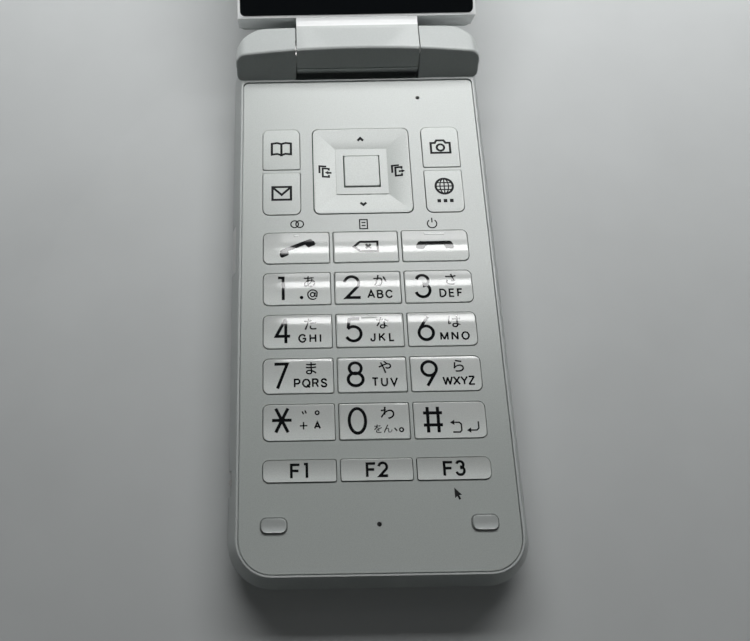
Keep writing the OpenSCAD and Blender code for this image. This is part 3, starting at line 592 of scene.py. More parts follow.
def make_tail(shell):
    """Trims the shell's rear to the ramp and sinks the pocket that the barrel turns in."""
    ramp = Vector((0, RAMP_TOUCH[0] - RAMP_START[0], RAMP_TOUCH[1] - RAMP_START[1]))
    normal = Vector((0, ramp.z, -ramp.y))
    cut(shell, (0, *RAMP_START), normal)
    corners = [(-KNUCKLE_X[0], *spot) for spot in circle((AXIS_Y, AXIS_Z), POCKET_R, POCKET_CORNERS)]
    carve(shell, prism("pocket", corners, (2 * KNUCKLE_X[0], 0, 0)))


def turned(before, corner, after, reach, steps):
    """Points of a soft turn at a corner, between the points before and after it."""
    start = corner + (before - corner).normalized() * reach
    end = corner + (after - corner).normalized() * reach
    parts = [step / steps for step in range(steps + 1)]
    return [start * (1 - s) ** 2 + corner * 2 * s * (1 - s) + end * s ** 2 for s in parts]


def knuckle_ring(x, foot):
    """Section of the hinge's right end: leaning front, arched top and the round or cut-off back."""
    rear = REAR_Y - fall_away(x, KNUCKLE_CORNER) * KNUCKLE_DEPTH / KNUCKLE_CORNER
    set_back = fall_away(x, END_ROUND) + FRONT_GAP

    def back(z):
        return min(rear, AXIS_Y + math.sqrt(KNUCKLE_R ** 2 - (z - AXIS_Z) ** 2))

    crease_z = crown_z(x, AXIS_Y - CREASE_BACK)
    crease = Vector((hinge_front(crease_z) + set_back, crease_z))
    top_y = back(crown_z(x, AXIS_Y + CORE_R))
    top = Vector((top_y, crown_z(x, top_y)))
    wall_top = top.y - KNUCKLE_SOFT
    heights = [wall_top + (foot - wall_top) * step / WALL_STEPS for step in range(1, WALL_STEPS + 1)]
    wall = [Vector((back(z), z)) for z in heights]
    front = Vector((hinge_front(foot) + set_back, foot))
    room = (top - crease).length * SOFT_SHARE
    outline = [front] + turned(front, crease, top, min(CREASE_SOFT, room), SOFT_STEPS)
    outline += turned(crease, top, wall[0], min(KNUCKLE_SOFT, room), SOFT_STEPS) + wall
    return [Vector((x, *spot)) for spot in outline]


def make_knuckle():
    """Fixed right end of the hinge, with a small waist below its notch."""
    foot = RIM_TOP - FOOT_SINK
    start_x = KNUCKLE_X[1] - KNUCKLE_CORNER
    turns = [math.radians(LAST_TURN * step / TURN_STEPS) for step in range(1, TURN_STEPS + 1)]
    stations = [KNUCKLE_X[0], start_x - LEAD_IN, start_x]
    stations += [start_x + KNUCKLE_CORNER * math.sin(t) for t in turns]
    rings = [knuckle_ring(x, foot) for x in stations]
    middle = sum(rings[-1], Vector()) / len(rings[-1])
    closing = Vector((KNUCKLE_X[1] - stations[-1], 0, 0))
    rings.append([spot + (middle - spot).normalized() * END_SOFT + closing for spot in rings[-1]])
    knuckle = loft("knuckle", rings)
    side = KNUCKLE_X[1]
    waist = side - WAIST_IN
    low = foot - CLEAR
    high = AXIS_Z + CROWN_RISE + 2 * CLEAR
    face_line = [(CUTTER_X, low), (waist - WAIST_R, low)]
    face_line += arc((waist - WAIST_R, foot + WAIST_R), WAIST_R, -90, 0, CORNER_STEPS)
    face_line += [(waist, NOTCH_Z), (side + CLEAR, NOTCH_Z), (side + CLEAR, high), (CUTTER_X, high)]
    corners = [(x, CASE_END - CUTTER_LEAD, z) for x, z in face_line]
    carve(knuckle, prism("face", corners, (0, CUTTER_DEPTH, 0)), "INTERSECT")
    use(knuckle)
    bpy.ops.object.shade_smooth_by_angle(angle=math.radians(KNUCKLE_SMOOTH))
    return knuckle


def make_barrel():
    """Turning middle of the hinge with the neck that carries the display half."""
    def to_open(y, z):
        return (AXIS_Y + y * math.cos(OPEN_TURN) + z * math.sin(OPEN_TURN),
                AXIS_Z - y * math.sin(OPEN_TURN) + z * math.cos(OPEN_TURN))

    neck_low = LID_Z - AXIS_Z
    neck_end = LID_Y - AXIS_Y
    upper = to_open(neck_end, neck_low)
    lower = to_open(neck_end, neck_low + NECK_T)
    slope = math.tan(math.pi - OPEN_TURN)
    valley_y = (crown_z(0, 0) - upper[1] + upper[0] * slope) / (slope + math.tan(CROWN_FALL))
    valley = (valley_y, crown_z(0, valley_y))
    core = arc((AXIS_Y, AXIS_Z), CORE_R, *CORE_ARC, CORE_STEPS)
    rings = []
    for step in range(BARREL_STEPS + 1):
        x = BARREL_X * (2 * step / BARREL_STEPS - 1)
        crease_z = crown_z(x, AXIS_Y - CREASE_BACK)
        crease = (hinge_front(crease_z), crease_z)
        rings.append([(x, *spot) for spot in (crease, valley, upper, lower, *core)])
    barrel = loft("barrel", rings)

    def on_crease(a, b):
        return all(abs(spot.y - hinge_front(spot.z)) < EXACT and spot.z > CREASE_LOW for spot in (a, b))

    def in_valley(a, b):
        return max(abs(a.y - valley_y), abs(b.y - valley_y)) < EXACT

    round_edges(barrel, VALLEY_R, RECESS_STEPS, in_valley)
    round_edges(barrel, CREASE_SOFT, SOFT_STEPS, on_crease)
    soften(barrel, BARREL_SOFT, BARREL_EDGE)
    seam_y = hinge_front(SEAM_Z)
    groove = block("groove", (-KNUCKLE_X[0], KNUCKLE_X[0]), (seam_y - GROOVE, seam_y + GROOVE),
                   (SEAM_Z - GROOVE / 2, SEAM_Z + GROOVE / 2))
    carve(barrel, groove)
    return barrel


def whiten_neck(barrel):
    """The neck in front of the display half has the white of that half."""
    barrel.data.materials.append(white_frame)
    for face in barrel.data.polygons:
        upper_side = face.normal.y < -NECK_LEAN and face.normal.z > NECK_UP
        if upper_side and face.center.y > NECK_START * MM:
            face.material_index = 1


def open_up(piece):
    """Turns a piece of the display half from its closed place to its open one."""
    place = Matrix.Translation((0, AXIS_Y, AXIS_Z))
    turn = Matrix.Rotation(-OPEN_TURN, 4, "X")
    piece.data.transform(place @ turn @ place.inverted())


def make_lid_frame():
    """Front case of the display half: side walls and the thin rim round the window."""
    lid = block("lid_frame", (-LID_HALF, LID_HALF), (LID_FAR, LID_Y), (LID_Z, LID_SPLIT))
    round_edges(lid, LID_REACH, OUTLINE_STEPS, upright_at(None, LID_FAR))
    choose(lid, "FACE", faces_down)
    bpy.ops.mesh.inset(thickness=LID_RIM)
    raise_faces(WINDOW_DEPTH)
    close_edit()
    inner = LID_HALF - LID_RIM
    for side in (inner, -inner):
        round_edges(lid, WINDOW_CORNER, RECESS_STEPS, upright_at(side, LID_Y - LID_RIM))
    choose(lid, "FACE", lambda centre, normal: faces_up(centre, normal) and centre.z > LID_SPLIT - NEAR)
    bpy.ops.mesh.inset(thickness=LID_WALL)
    raise_faces(LID_LEDGE - LID_SPLIT)
    close_edit()
    soften(lid, LID_SOFT)
    open_up(lid)
    return lid


def make_key(name, middle, size, corners, crown, foot=KEY_FOOT, top=KEY_TOP, soft=KEY_SOFT):
    """A cap with a crowned top; corners are its radii upper right, upper left, lower left, lower right."""
    x = (middle[0] - size[0] / 2, middle[0] + size[0] / 2)
    y = (middle[1] - size[1] / 2, middle[1] + size[1] / 2)
    key = block(name, x, y, (foot, top))
    for radius, place in zip(corners, ((x[1], y[1]), (x[0], y[1]), (x[0], y[0]), (x[1], y[0]))):
        round_edges(key, radius, CORNER_STEPS if radius > 1 else SQUARE_STEPS, upright_at(*place))
    choose(key, "FACE", anything)
    score_rows(y[0], size[1], CROWN_STEPS)
    for point in key.data.vertices:
        if point.co.z > top - CLOSE:
            point.co.z = crowned(point.co.y - middle[1], crown, top)
    soften(key, soft, KEY_EDGE, KEY_SOFT_STEPS)
    # The front value carries painted light: it runs from -1 at the rear edge to 1 at the front edge, and rim
    # points below the crowned top take 1, a painted highlight.
    front = key.data.attributes.new("front", "FLOAT", "POINT")
    for value, point in zip(front.data, key.data.vertices):
        painted_bright_rim = point.co.z < crowned(point.co.y - middle[1], crown, top) - PAINTED_RIM_FALL
        value.value = 1 if painted_bright_rim else (middle[1] - point.co.y) / (size[1] / 2)
    return key


def add_touch_mark(key, middle, depth, width):
    """A small raised bar near a key's rear edge, felt by the fingertip."""
    mark_y = middle[1] + depth / 2 - MARK_IN
    x = (middle[0] - width / 2, middle[0] + width / 2)
    mark_top = crowned(mark_y - middle[1], KEY_CROWN) + MARK_RISE
    mark = block("mark", x, (mark_y - MARK_DEPTH / 2, mark_y + MARK_DEPTH / 2), (PANEL_FACE, mark_top))
    soften(mark, MARK_SOFT, KEY_EDGE)
    join(key, mark)


def join(piece, *others):
    use(piece)
    for other in others:
        other.select_set(True)
    bpy.ops.object.join()


def crowned(offset, crown, top=KEY_TOP):
    """Height of a crowned top at a distance from its middle line."""
    return top - crown + math.sqrt(crown ** 2 - offset ** 2)


def make_nav_ring():
    """Four-way key: four facets that slope in to a flat floor round the centre key."""
    half = NAV_W / 2
    key = block("four_way_key", (-half, half), (NAV_Y - half, NAV_Y + half), (NAV_FOOT, NAV_TOP))
    choose(key, "FACE", faces_up)
    bpy.ops.mesh.inset(thickness=NAV_RIM)
    bpy.ops.mesh.inset(thickness=half - NAV_RIM - NAV_FLOOR / 2, depth=-NAV_DISH)
    raise_faces(NAV_STEP)
    bpy.ops.mesh.inset(thickness=NAV_FLOOR / 2 - OK_W / 2 - OK_GAP)
    raise_faces(NAV_FOOT - NAV_TOP + NAV_DISH - NAV_STEP)
    bpy.ops.mesh.delete(type="ONLY_FACE")
    close_edit()
    choose(key, "FACE", faces_down)
    bpy.ops.mesh.delete(type="ONLY_FACE")
    close_edit()
    choose(key, "EDGE", lambda a, b: max(a.z, b.z) < NAV_FOOT + CLOSE)
    bpy.ops.mesh.bridge_edge_loops()
    close_edit()
    upright = upright_at(None, None)
    round_edges(key, NAV_CORNER, CORNER_STEPS, lambda a, b: upright(a, b) and abs(a.x) > half - NEAR)
    soften(key, NAV_SOFT, NAV_EDGE)
    return key


# Legends are drawn flat about a key's middle, then laid on its crowned top
INK_T = 0.03
INK_LIFT = 0.012
INK_STEP = 0.5
MERGE = 0.0001
RING_STEPS = 40
DOT_STEPS = 24
HEAD_SPREAD = 32
PEN = 0.57
F_PEN = 0.46
ICON_PEN = 0.46
CHEVRON_PEN = 0.5
PAGE_PEN = 0.4
THIN_PEN = 0.25
BOLD = 0.013
FINE = 0.007
LETTER_PEN = 0.31
LETTER_NARROW = 0.86
DIGIT_AT = (-3.05, 0.1)
F_DIGIT_AT = (1.05, 0.03)
F_DIGIT_SIZE = 0.52
KANA_AT = (2.4, 1.4)
KANA_H = 2.35
LETTERS_AT = (2.25, -1.42)
LETTERS_H = 1.75
UP_MARK_Y = 35.45
DOWN_MARK_Y = 20.4
PAGE_MARK_X = 7.45
PAGE_MARK_Y = 27.95
POWER_AT = (13.33, 15.75)
PAIR_AT = (-13.3, 16.0)
NOTE_AT = (-0.2, 15.75)
POINTER_AT = (13.9, -36.9)


def fine_line(points, closed):
    """Adds points along a line until none are far apart."""
    ends = points[1:] + points[:1] if closed else points[1:]
    line = []
    for start, end in zip(points, ends):
        steps = max(1, math.ceil(math.dist(start, end) / INK_STEP))
        line += [(start[0] + (end[0] - start[0]) * i / steps, start[1] + (end[1] - start[1]) * i / steps)
                 for i in range(steps)]
    return line if closed else line + [points[-1]]


def stroke(points, width, closed=False):
    """A flat pen stroke of one width along a line."""
    line = [Vector(point) for point in fine_line(list(points), closed)]
    count = len(line)
    left, right = [], []
    for i, point in enumerate(line):
        before = line[i - 1] if closed or i else None
        after = line[(i + 1) % count] if closed or i < count - 1 else None
        ways = [way.normalized() for way in ((point - before) if before else None,
                                             (after - point) if after else None) if way]
        sides = [Vector((-way.y, way.x)) for way in ways]
        side = sides[0] if len(sides) == 1 else (sides[0] + sides[1]) / (1 + sides[0].dot(sides[1]))
        left.append(point + side * width / 2)
        right.append(point - side * width / 2)
    if closed:
        left.append(left[0])
        right.append(right[0])
    bpy.ops.mesh.primitive_grid_add(x_subdivisions=len(left) - 1, y_subdivisions=1)
    piece = bpy.context.object
    for point, spot in zip(piece.data.vertices, right + left):
        point.co = (*spot, 0)
    if closed:
        choose(piece, "VERT", anything)
        bpy.ops.mesh.remove_doubles(threshold=MERGE)
        close_edit()
    return piece


def strokes(lines, width):
    return [stroke(line, width) for line in lines]


def ring(middle, radii, width):
    """A closed round stroke."""
    turns = [2 * math.pi * i / RING_STEPS for i in range(RING_STEPS)]
    return stroke([(middle[0] + radii[0] * math.cos(t), middle[1] + radii[1] * math.sin(t)) for t in turns],
                  width, closed=True)


def plate(outline):
    """A flat filled outline."""
    return drawn_face("plate", [(*spot, 0) for spot in outline])


def syllables(body, middle, height, bold=BOLD):
    """Generic dial syllables of a given height."""
    bpy.ops.object.text_add()
    bpy.context.object.data.body = body
    bpy.context.object.data.offset = bold
    bpy.ops.object.convert(target="MESH")
    piece = bpy.context.object
    spots = [point.co.copy() for point in piece.data.vertices]
    low = Vector((min(spot.x for spot in spots), min(spot.y for spot in spots)))
    high = Vector((max(spot.x for spot in spots), max(spot.y for spot in spots)))
    grow = height / (high.y - low.y)
    for point, spot in zip(piece.data.vertices, spots):
        flat = (spot.xy - (low + high) / 2) * grow
        point.co = (middle[0] + flat.x, middle[1] + flat.y, 0)
    return piece


# Dial letters on a field one wide and one high: width, then lines of points
ROUND_LETTER = [(0.5, 1), (0.2, 0.9), (0, 0.62), (0, 0.38), (0.2, 0.1), (0.5, 0), (0.8, 0.1), (1, 0.38),
                (1, 0.62), (0.8, 0.9), (0.5, 1)]
LETTERS = {
    "A": (1.0, [[(0, 0), (0.5, 1), (1, 0)], [(0.19, 0.33), (0.81, 0.33)]]),
    "B": (0.8, [[(0, 0), (0, 1), (0.6, 1), (0.85, 0.87), (0.85, 0.67), (0.6, 0.53), (0, 0.53)],
                [(0.6, 0.53), (0.95, 0.38), (0.95, 0.15), (0.65, 0), (0, 0)]]),
    "C": (0.9, [[(1, 0.75), (0.78, 0.96), (0.5, 1), (0.2, 0.9), (0, 0.62), (0, 0.38), (0.2, 0.1), (0.5, 0),
                 (0.78, 0.04), (1, 0.25)]]),
    "D": (0.85, [[(0, 0), (0, 1), (0.5, 1), (0.85, 0.85), (1, 0.6), (1, 0.4), (0.85, 0.15), (0.5, 0),
                  (0, 0)]]),
    "E": (0.68, [[(1, 1), (0, 1), (0, 0), (1, 0)], [(0, 0.52), (0.9, 0.52)]]),
    "F": (0.62, [[(1, 1), (0, 1), (0, 0)], [(0, 0.52), (0.88, 0.52)]]),
    "G": (0.95, [[(0.97, 0.75), (0.78, 0.96), (0.5, 1), (0.2, 0.9), (0, 0.62), (0, 0.38), (0.2, 0.1),
                  (0.5, 0), (0.8, 0.06), (1, 0.25), (1, 0.47), (0.55, 0.47)]]),
    "H": (0.8, [[(0, 0), (0, 1)], [(1, 0), (1, 1)], [(0, 0.52), (1, 0.52)]]),
    "I": (0.0, [[(0, 0), (0, 1)]]),
    "J": (0.6, [[(1, 1), (1, 0.25), (0.78, 0.04), (0.4, 0), (0.12, 0.1), (0, 0.32)]]),
    "K": (0.8, [[(0, 0), (0, 1)], [(0.95, 1), (0, 0.36)], [(0.32, 0.58), (1, 0)]]),
    "L": (0.62, [[(0, 1), (0, 0), (1, 0)]]),
    "M": (1.0, [[(0, 0), (0, 1)], [(0.02, 0.95), (0.5, 0.04)], [(0.5, 0.04), (0.98, 0.95)],
                [(1, 1), (1, 0)]]),
    "N": (0.82, [[(0, 0), (0, 1)], [(0.02, 0.95), (0.98, 0.05)], [(1, 0), (1, 1)]]),
    "O": (1.0, [ROUND_LETTER]),
    "P": (0.75, [[(0, 0), (0, 1), (0.7, 1), (0.97, 0.85), (0.97, 0.6), (0.7, 0.45), (0, 0.45)]]),
    "Q": (1.0, [ROUND_LETTER, [(0.62, 0.28), (1.02, -0.06)]]),
    "R": (0.8, [[(0, 0), (0, 1), (0.65, 1), (0.92, 0.86), (0.92, 0.64), (0.65, 0.5), (0, 0.5)],
                [(0.58, 0.5), (0.98, 0)]]),
    "S": (0.78, [[(0.94, 0.76), (0.8, 0.95), (0.5, 1), (0.2, 0.95), (0.06, 0.77), (0.18, 0.6), (0.8, 0.43),
                  (0.97, 0.25), (0.82, 0.05), (0.5, 0), (0.18, 0.05), (0, 0.27)]]),
    "T": (0.85, [[(0, 1), (1, 1)], [(0.5, 1), (0.5, 0)]]),
    "U": (0.8, [[(0, 1), (0, 0.3), (0.18, 0.06), (0.5, 0), (0.82, 0.06), (1, 0.3), (1, 1)]]),
    "V": (0.95, [[(0, 1), (0.5, 0.04), (1, 1)]]),
    "W": (1.3, [[(0, 1), (0.26, 0)], [(0.26, 0), (0.5, 0.95)], [(0.5, 0.95), (0.74, 0)],
                [(0.74, 0), (1, 1)]]),
    "X": (0.9, [[(0, 1), (1, 0)], [(1, 1), (0, 0)]]),
    "Y": (0.9, [[(0, 1), (0.5, 0.45), (0.5, 0)], [(1, 1), (0.5, 0.45)]]),
    "Z": (0.85, [[(0, 1), (0.95, 1)], [(0.95, 1), (0.02, 0)], [(0, 0), (1, 0)]]),
}


def letters(word, middle, height, width):
    """Dial letters drawn with the fine pen, spread evenly over a width."""
    rise = height - LETTER_PEN
    room = width - LETTER_PEN
    natural = sum(LETTERS[mark][0] for mark in word) * rise
    gap = (room - natural * LETTER_NARROW) / max(1, len(word) - 1)
    at = middle[0] - room / 2
    drawn = []
    for mark in word:
        across, lines = LETTERS[mark]
        across *= rise * LETTER_NARROW
        for line in lines:
            spots = [(at + x * across, middle[1] + (y - 0.5) * rise) for x, y in line]
            drawn.append(stroke(spots, LETTER_PEN))
        at += across + gap
    return drawn


def shifted(points, middle, size=1):
    return [(middle[0] + x * size, middle[1] + y * size) for x, y in points]


def digit_strokes(mark, at=DIGIT_AT, size=1, pen=PEN):
    """The strokes of a dial digit, drawn about its middle with a pen's plain geometry."""
    lines = {
        "1": [[(-0.55, 2.2), (0.42, 2.2), (0.42, -2.4)]],
        "2": [arc((0, 0.85), 1.36, 172, -32, 14) + [(-1.05, -2.15), (1.62, -2.15)]],
        "3": [arc((0, 1.1), 1.15, 165, -90, 14), arc((0, -0.9), 1.35, 90, -165, 16)],
        "4": [[(0.85, -2.4), (0.85, 2.4)], [(0.75, 2.2), (-0.95, -1.05), (1.65, -1.05)]],
        "5": [[(1.2, 2.2), (-0.76, 2.2), (-1.0, 0.3)], arc((-0.05, -0.78), 1.42, 138, -155, 18)],
        "6": [[(0.5, 2.4), (-1.05, 0.1)]],
        "7": [[(-1.3, 2.2), (1.05, 2.2), (-0.75, -2.45)]],
        "8": [],
        "9": [[(1.05, 0.0), (-0.45, -2.4)]],
        "0": [],
        "*": [[(-1.75, 0.3), (1.75, 0.3)], [(-1.1, 2.5), (1.1, -1.9)], [(1.1, 2.5), (-1.1, -1.9)]],
        "#": [[(-0.9, 2.3), (-0.9, -2.35)], [(0.95, 2.3), (0.95, -2.35)],
              [(-1.7, 1.2), (1.7, 1.2)], [(-1.7, -1.0), (1.7, -1.0)]],
    }[mark]
    rings = {
        "6": [((0, -0.85), (1.34, 1.34))], "8": [((0, 1.14), (1.1, 1.06)), ((0, -0.96), (1.36, 1.2))],
        "9": [((0, 0.85), (1.34, 1.34))], "0": [((0, 0), (1.46, 2.24))],
    }.get(mark, [])
    return ([stroke(shifted(line, at, size), pen) for line in lines]
            + [ring(shifted([middle], at, size)[0], (radii[0] * size, radii[1] * size), pen)
               for middle, radii in rings])


def dial_legend(mark, kana, latin, width):
    return lambda: (digit_strokes(mark) + [syllables(kana, KANA_AT, KANA_H)]
                    + letters(latin, LETTERS_AT, LETTERS_H, width))


def key_1_legend():
    """One with its syllable, a full stop and an at sign."""
    tail = arc((3.0, -1.3), 0.95, -50, -330, 24) + [(3.75, -1.7), (3.42, -1.62)]
    return (digit_strokes("1") + [syllables("あ", KANA_AT, KANA_H)]
            + [ring((2.95, -1.3), (0.4, 0.42), THIN_PEN), stroke(tail, THIN_PEN)]
            + [stroke([(3.48, -0.85), (3.38, -1.6)], THIN_PEN)]
            + [plate(circle((0.85, -1.85), 0.33, DOT_STEPS))])


def star_legend():
    """Star with the two voicing marks, a plus sign and a sign for small and large letters."""
    return (digit_strokes("*")
            + strokes([[(0.6, 2.0), (0.85, 1.45)], [(1.1, 2.15), (1.35, 1.6)]], THIN_PEN)
            + [ring((3.3, 1.7), (0.33, 0.33), THIN_PEN)]
            + strokes([[(0.15, -0.65), (1.5, -0.65)], [(0.82, 0.02), (0.82, -1.32)]], THIN_PEN)
            + letters("A", (3.4, -0.6), 1.45, 1.5))


def zero_legend():
    return (digit_strokes("0") + [syllables("わ", KANA_AT, KANA_H)]
            + [syllables("をん", (1.5, -1.4), 1.5, FINE), ring((4.75, -1.65), (0.33, 0.33), THIN_PEN)]
            + [stroke([(3.5, -1.3), (3.95, -1.85)], THIN_PEN)])


def arrow_head(tip, way, size):
    """A filled arrow head; way is the direction it points in, in degrees."""
    turns = [math.radians(way + spread) for spread in (HEAD_SPREAD, -HEAD_SPREAD)]
    return plate([tip, *[(tip[0] - size * math.cos(t), tip[1] - size * math.sin(t)) for t in turns]])


def hash_legend():
    """Hash with a turning-back arrow and a line-feed arrow."""
    back = [(0.5, -0.5), (1.6, -0.5), (1.95, -0.85), (1.95, -1.95), (1.65, -2.25), (0.4, -2.25)]
    feed = [(5.0, -0.4), (5.0, -1.6), (4.65, -1.95), (3.5, -1.95)]
    return (digit_strokes("#")
            + [stroke(back, THIN_PEN), arrow_head((-0.05, -0.5), 180, 0.9)]
            + [stroke(feed, THIN_PEN), arrow_head((2.85, -1.95), 180, 0.9)])


def handset(turn, middle):
    """A receiver seen from its side, turned by an angle in degrees."""
    half = [(2.85, 0.8), (3.25, 0.63), (3.68, -0.12), (3.64, -0.67), (3.45, -0.82), (2.15, -0.82),
            (1.98, -0.6), (1.75, -0.02)]
    outline = half + [(-x, y) for x, y in reversed(half)]
    swing = math.radians(turn)
    return [plate([(middle[0] + x * math.cos(swing) - y * math.sin(swing),
                    middle[1] + x * math.sin(swing) + y * math.cos(swing)) for x, y in outline])]


def call_legend():
    return handset(22, (0.1, -0.05))


def clear_legend():
    """A plain wipe-out sign: a pointed tab with a cross in it."""
    tab = stroke([(-2.3, 0), (-1.1, 1.0), (2.3, 1.0), (2.3, -1.0), (-1.1, -1.0)], ICON_PEN, closed=True)
    return [tab] + strokes([[(0.0, 0.45), (1.0, -0.45)], [(0.0, -0.45), (1.0, 0.45)]], ICON_PEN)


def end_legend():
    return handset(0, (-0.05, 0.1))


def book_legend():
    page = [(0, 1.25), (0.85, 1.5), (1.95, 1.35), (1.95, -1.25), (0.85, -1.1), (0, -1.4)]
    return [stroke(page, ICON_PEN, closed=True), stroke([(-x, y) for x, y in page], ICON_PEN, closed=True)]


def mail_legend():
    return [stroke([(-1.85, 1.45), (1.85, 1.45), (1.85, -1.45), (-1.85, -1.45)], ICON_PEN, closed=True),
            stroke([(-1.8, 1.35), (0, -0.35), (1.8, 1.35)], ICON_PEN)]


def camera_legend():
    body = [(-1.95, 0.85), (-1.1, 0.85), (-0.75, 1.45), (0.75, 1.45), (1.1, 0.85), (1.95, 0.85),
            (1.95, -1.5), (-1.95, -1.5)]
    return [stroke(body, ICON_PEN, closed=True), ring((0, -0.25), (0.75, 0.75), ICON_PEN)]


def web_legend():
    """A globe over a short row of squares."""
    at = (0.05, 1.0)
    lines = [[(0, 1.7), (0, -1.7)], [(-1.7, 0), (1.7, 0)], [(-1.5, 0.8), (1.5, 0.8)],
             [(-1.5, -0.8), (1.5, -0.8)]]
    squares = [stroke([(x - 0.36, -2.3), (x + 0.36, -2.3)], 0.72) for x in (-1.2, 0.05, 1.3)]
    return ([ring(at, (1.72, 1.72), ICON_PEN), ring(at, (0.85, 1.72), THIN_PEN)]
            + [stroke(shifted(line, at), THIN_PEN) for line in lines] + squares)


def function_legend(mark, left=-1.72):
    f_lines = [[(left, -1.25), (left, 1.07), (left + 1.45, 1.07)], [(left, 0.02), (left + 1.25, 0.02)]]
    return lambda: strokes(f_lines, F_PEN) + digit_strokes(mark, F_DIGIT_AT, F_DIGIT_SIZE, F_PEN)


KEY_LEGENDS = {
    "key_call": call_legend, "key_clear": clear_legend, "key_end": end_legend, "key_1": key_1_legend,
    "key_2": dial_legend("2", "か", "ABC", 4.9), "key_3": dial_legend("3", "さ", "DEF", 4.45),
    "key_4": dial_legend("4", "た", "GHI", 4.3), "key_5": dial_legend("5", "な", "JKL", 4.6),
    "key_6": dial_legend("6", "は", "MNO", 5.5), "key_7": dial_legend("7", "ま", "PQRS", 6.15),
    "key_8": dial_legend("8", "や", "TUV", 4.85), "key_9": dial_legend("9", "ら", "WXYZ", 6.0),
    "key_star": star_legend, "key_0": zero_legend, "key_hash": hash_legend,
    "key_f1": function_legend("1", -1.45), "key_f2": function_legend("2"), "key_f3": function_legend("3"),
    "key_book": book_legend, "key_mail": mail_legend, "key_camera": camera_legend, "key_web": web_legend,
}


def lay_ink(name, parts, body, height, material):
    """Joins drawn parts, lays them on a surface given by its height at each place, and thickens them."""
    piece = parts[0]
    join(piece, *parts[1:])
    piece.name = name
    choose(piece, "FACE", lambda centre, normal: normal.z < 0)
    bpy.ops.mesh.flip_normals()
    low = min(point[1] for point in piece.bound_box)
    high = max(point[1] for point in piece.bound_box)
    score_rows(low, high - low, max(2, math.ceil((high - low) / INK_STEP)))
    for point in piece.data.vertices:
        point.co.z = height(point.co.x, point.co.y) + INK_LIFT
    use(piece)
    tool = piece.modifiers.new("thick", "SOLIDIFY")
    tool.thickness = INK_T
    tool.offset = -1
    bpy.ops.object.modifier_apply(modifier="thick")
    bpy.ops.object.shade_smooth_by_angle(angle=math.radians(SMOOTH_EDGE))
    finish_piece(piece, body, material)


def moved(parts, middle):
    for part in parts:
        part.data.transform(Matrix.Translation((*middle, 0)))
    return parts


def add_legend(name, middle, crown, material):
    """Puts a key's legend on its crowned top."""
    parts = moved(KEY_LEGENDS[name](), middle)
    lay_ink(name + "_ink", parts, name, lambda x, y: crowned(y - middle[1], crown), material)


def nav_height(x, y):
    """Height of the four-way key's dished top."""
    half = NAV_W / 2
    reach = max(abs(x), abs(y - NAV_Y))
    return NAV_TOP - NAV_DISH * min(1, max(0, half - NAV_RIM - reach) / (half - NAV_RIM - NAV_FLOOR / 2))


def page_sign(way):
    """Two stacked pages with an arrow going in or out; way is the direction the arrow points in."""
    back = [(-1.15, -0.45), (-1.15, 1.2), (0.25, 1.2)]
    front = [(0.75, 0.3), (0.75, 0.72), (-0.5, 0.72), (-0.5, -1.2), (0.75, -1.2), (0.75, -0.75)]
    tip = -0.05 if way else 1.4
    parts = strokes([back, front, [(0.15, -0.22), (1.0, -0.22)]], PAGE_PEN)
    parts.append(arrow_head((tip, -0.22), way, 0.8))
    if way:
        parts.append(stroke([(0.9, -0.22), (1.3, -0.22)], PAGE_PEN))
    return parts


def add_nav_signs():
    chevron = [(-0.58, -0.28), (0, 0.3), (0.58, -0.28)]
    parts = [stroke(shifted(chevron, (0, UP_MARK_Y)), CHEVRON_PEN)]
    parts += [stroke([(x, DOWN_MARK_Y - y) for x, y in chevron], CHEVRON_PEN)]
    parts += moved(page_sign(180), (-PAGE_MARK_X, PAGE_MARK_Y))
    parts += moved(page_sign(0), (PAGE_MARK_X - 0.1, PAGE_MARK_Y))
    lay_ink("four_way_key_ink", parts, "nav_ring", nav_height, satin_ink)


def add_panel_signs():
    """Small generic signs printed on the panel beside the keys."""
    power = [stroke(arc((0, -0.15), 0.92, 55, -235, 24), THIN_PEN), stroke([(0, 0.1), (0, 1.15)], THIN_PEN)]
    pair = [ring((-0.5, 0), (0.75, 0.75), THIN_PEN), ring((0.5, 0), (0.75, 0.75), THIN_PEN)]
    note = [stroke([(-0.75, 1), (0.75, 1), (0.75, -1), (-0.75, -1)], THIN_PEN, closed=True)]
    note += strokes([[(-0.4, 0.35), (0.4, 0.35)], [(-0.4, -0.3), (0.4, -0.3)]], THIN_PEN)
    pointer = [plate([(-0.6, 1.05), (-0.6, -0.75), (-0.2, -0.4), (0.1, -1.05), (0.45, -0.9), (0.15, -0.25),
                      (0.65, -0.2)])]
    parts = moved(power, POWER_AT) + moved(pair, PAIR_AT) + moved(note, NOTE_AT) + moved(pointer, POINTER_AT)
    lay_ink("panel_ink", parts, "base", lambda x, y: PANEL_FACE, satin_ink)


def add_pads():
    """The two clear pads near the bottom corners, each with a dark ring of painted shade round it, where the
    gap of its recess lies in shadow.
    """
    shade_rings = [make_key("pad_shade_rings", (side * PAD_AT[0], PAD_AT[1]), WELL_SIZE, (WELL_CORNER,) * 4, WELL_CROWN,
                      PANEL_BACK, PANEL_FACE + WELL_RISE, WELL_SOFT) for side in (-1, 1)]
    join(*shade_rings)
    finish_piece(shade_rings[0], "base", well_shade)
    pads = [make_key("closing_pads", (side * PAD_AT[0], PAD_AT[1]), PAD_SIZE, (PAD_CORNER,) * 4, PAD_CROWN,
                     PANEL_FACE, PAD_TOP, PAD_SOFT) for side in (-1, 1)]
    join(*pads)
    finish_piece(pads[0], "base", clear_pad, ["bumper_pads"])


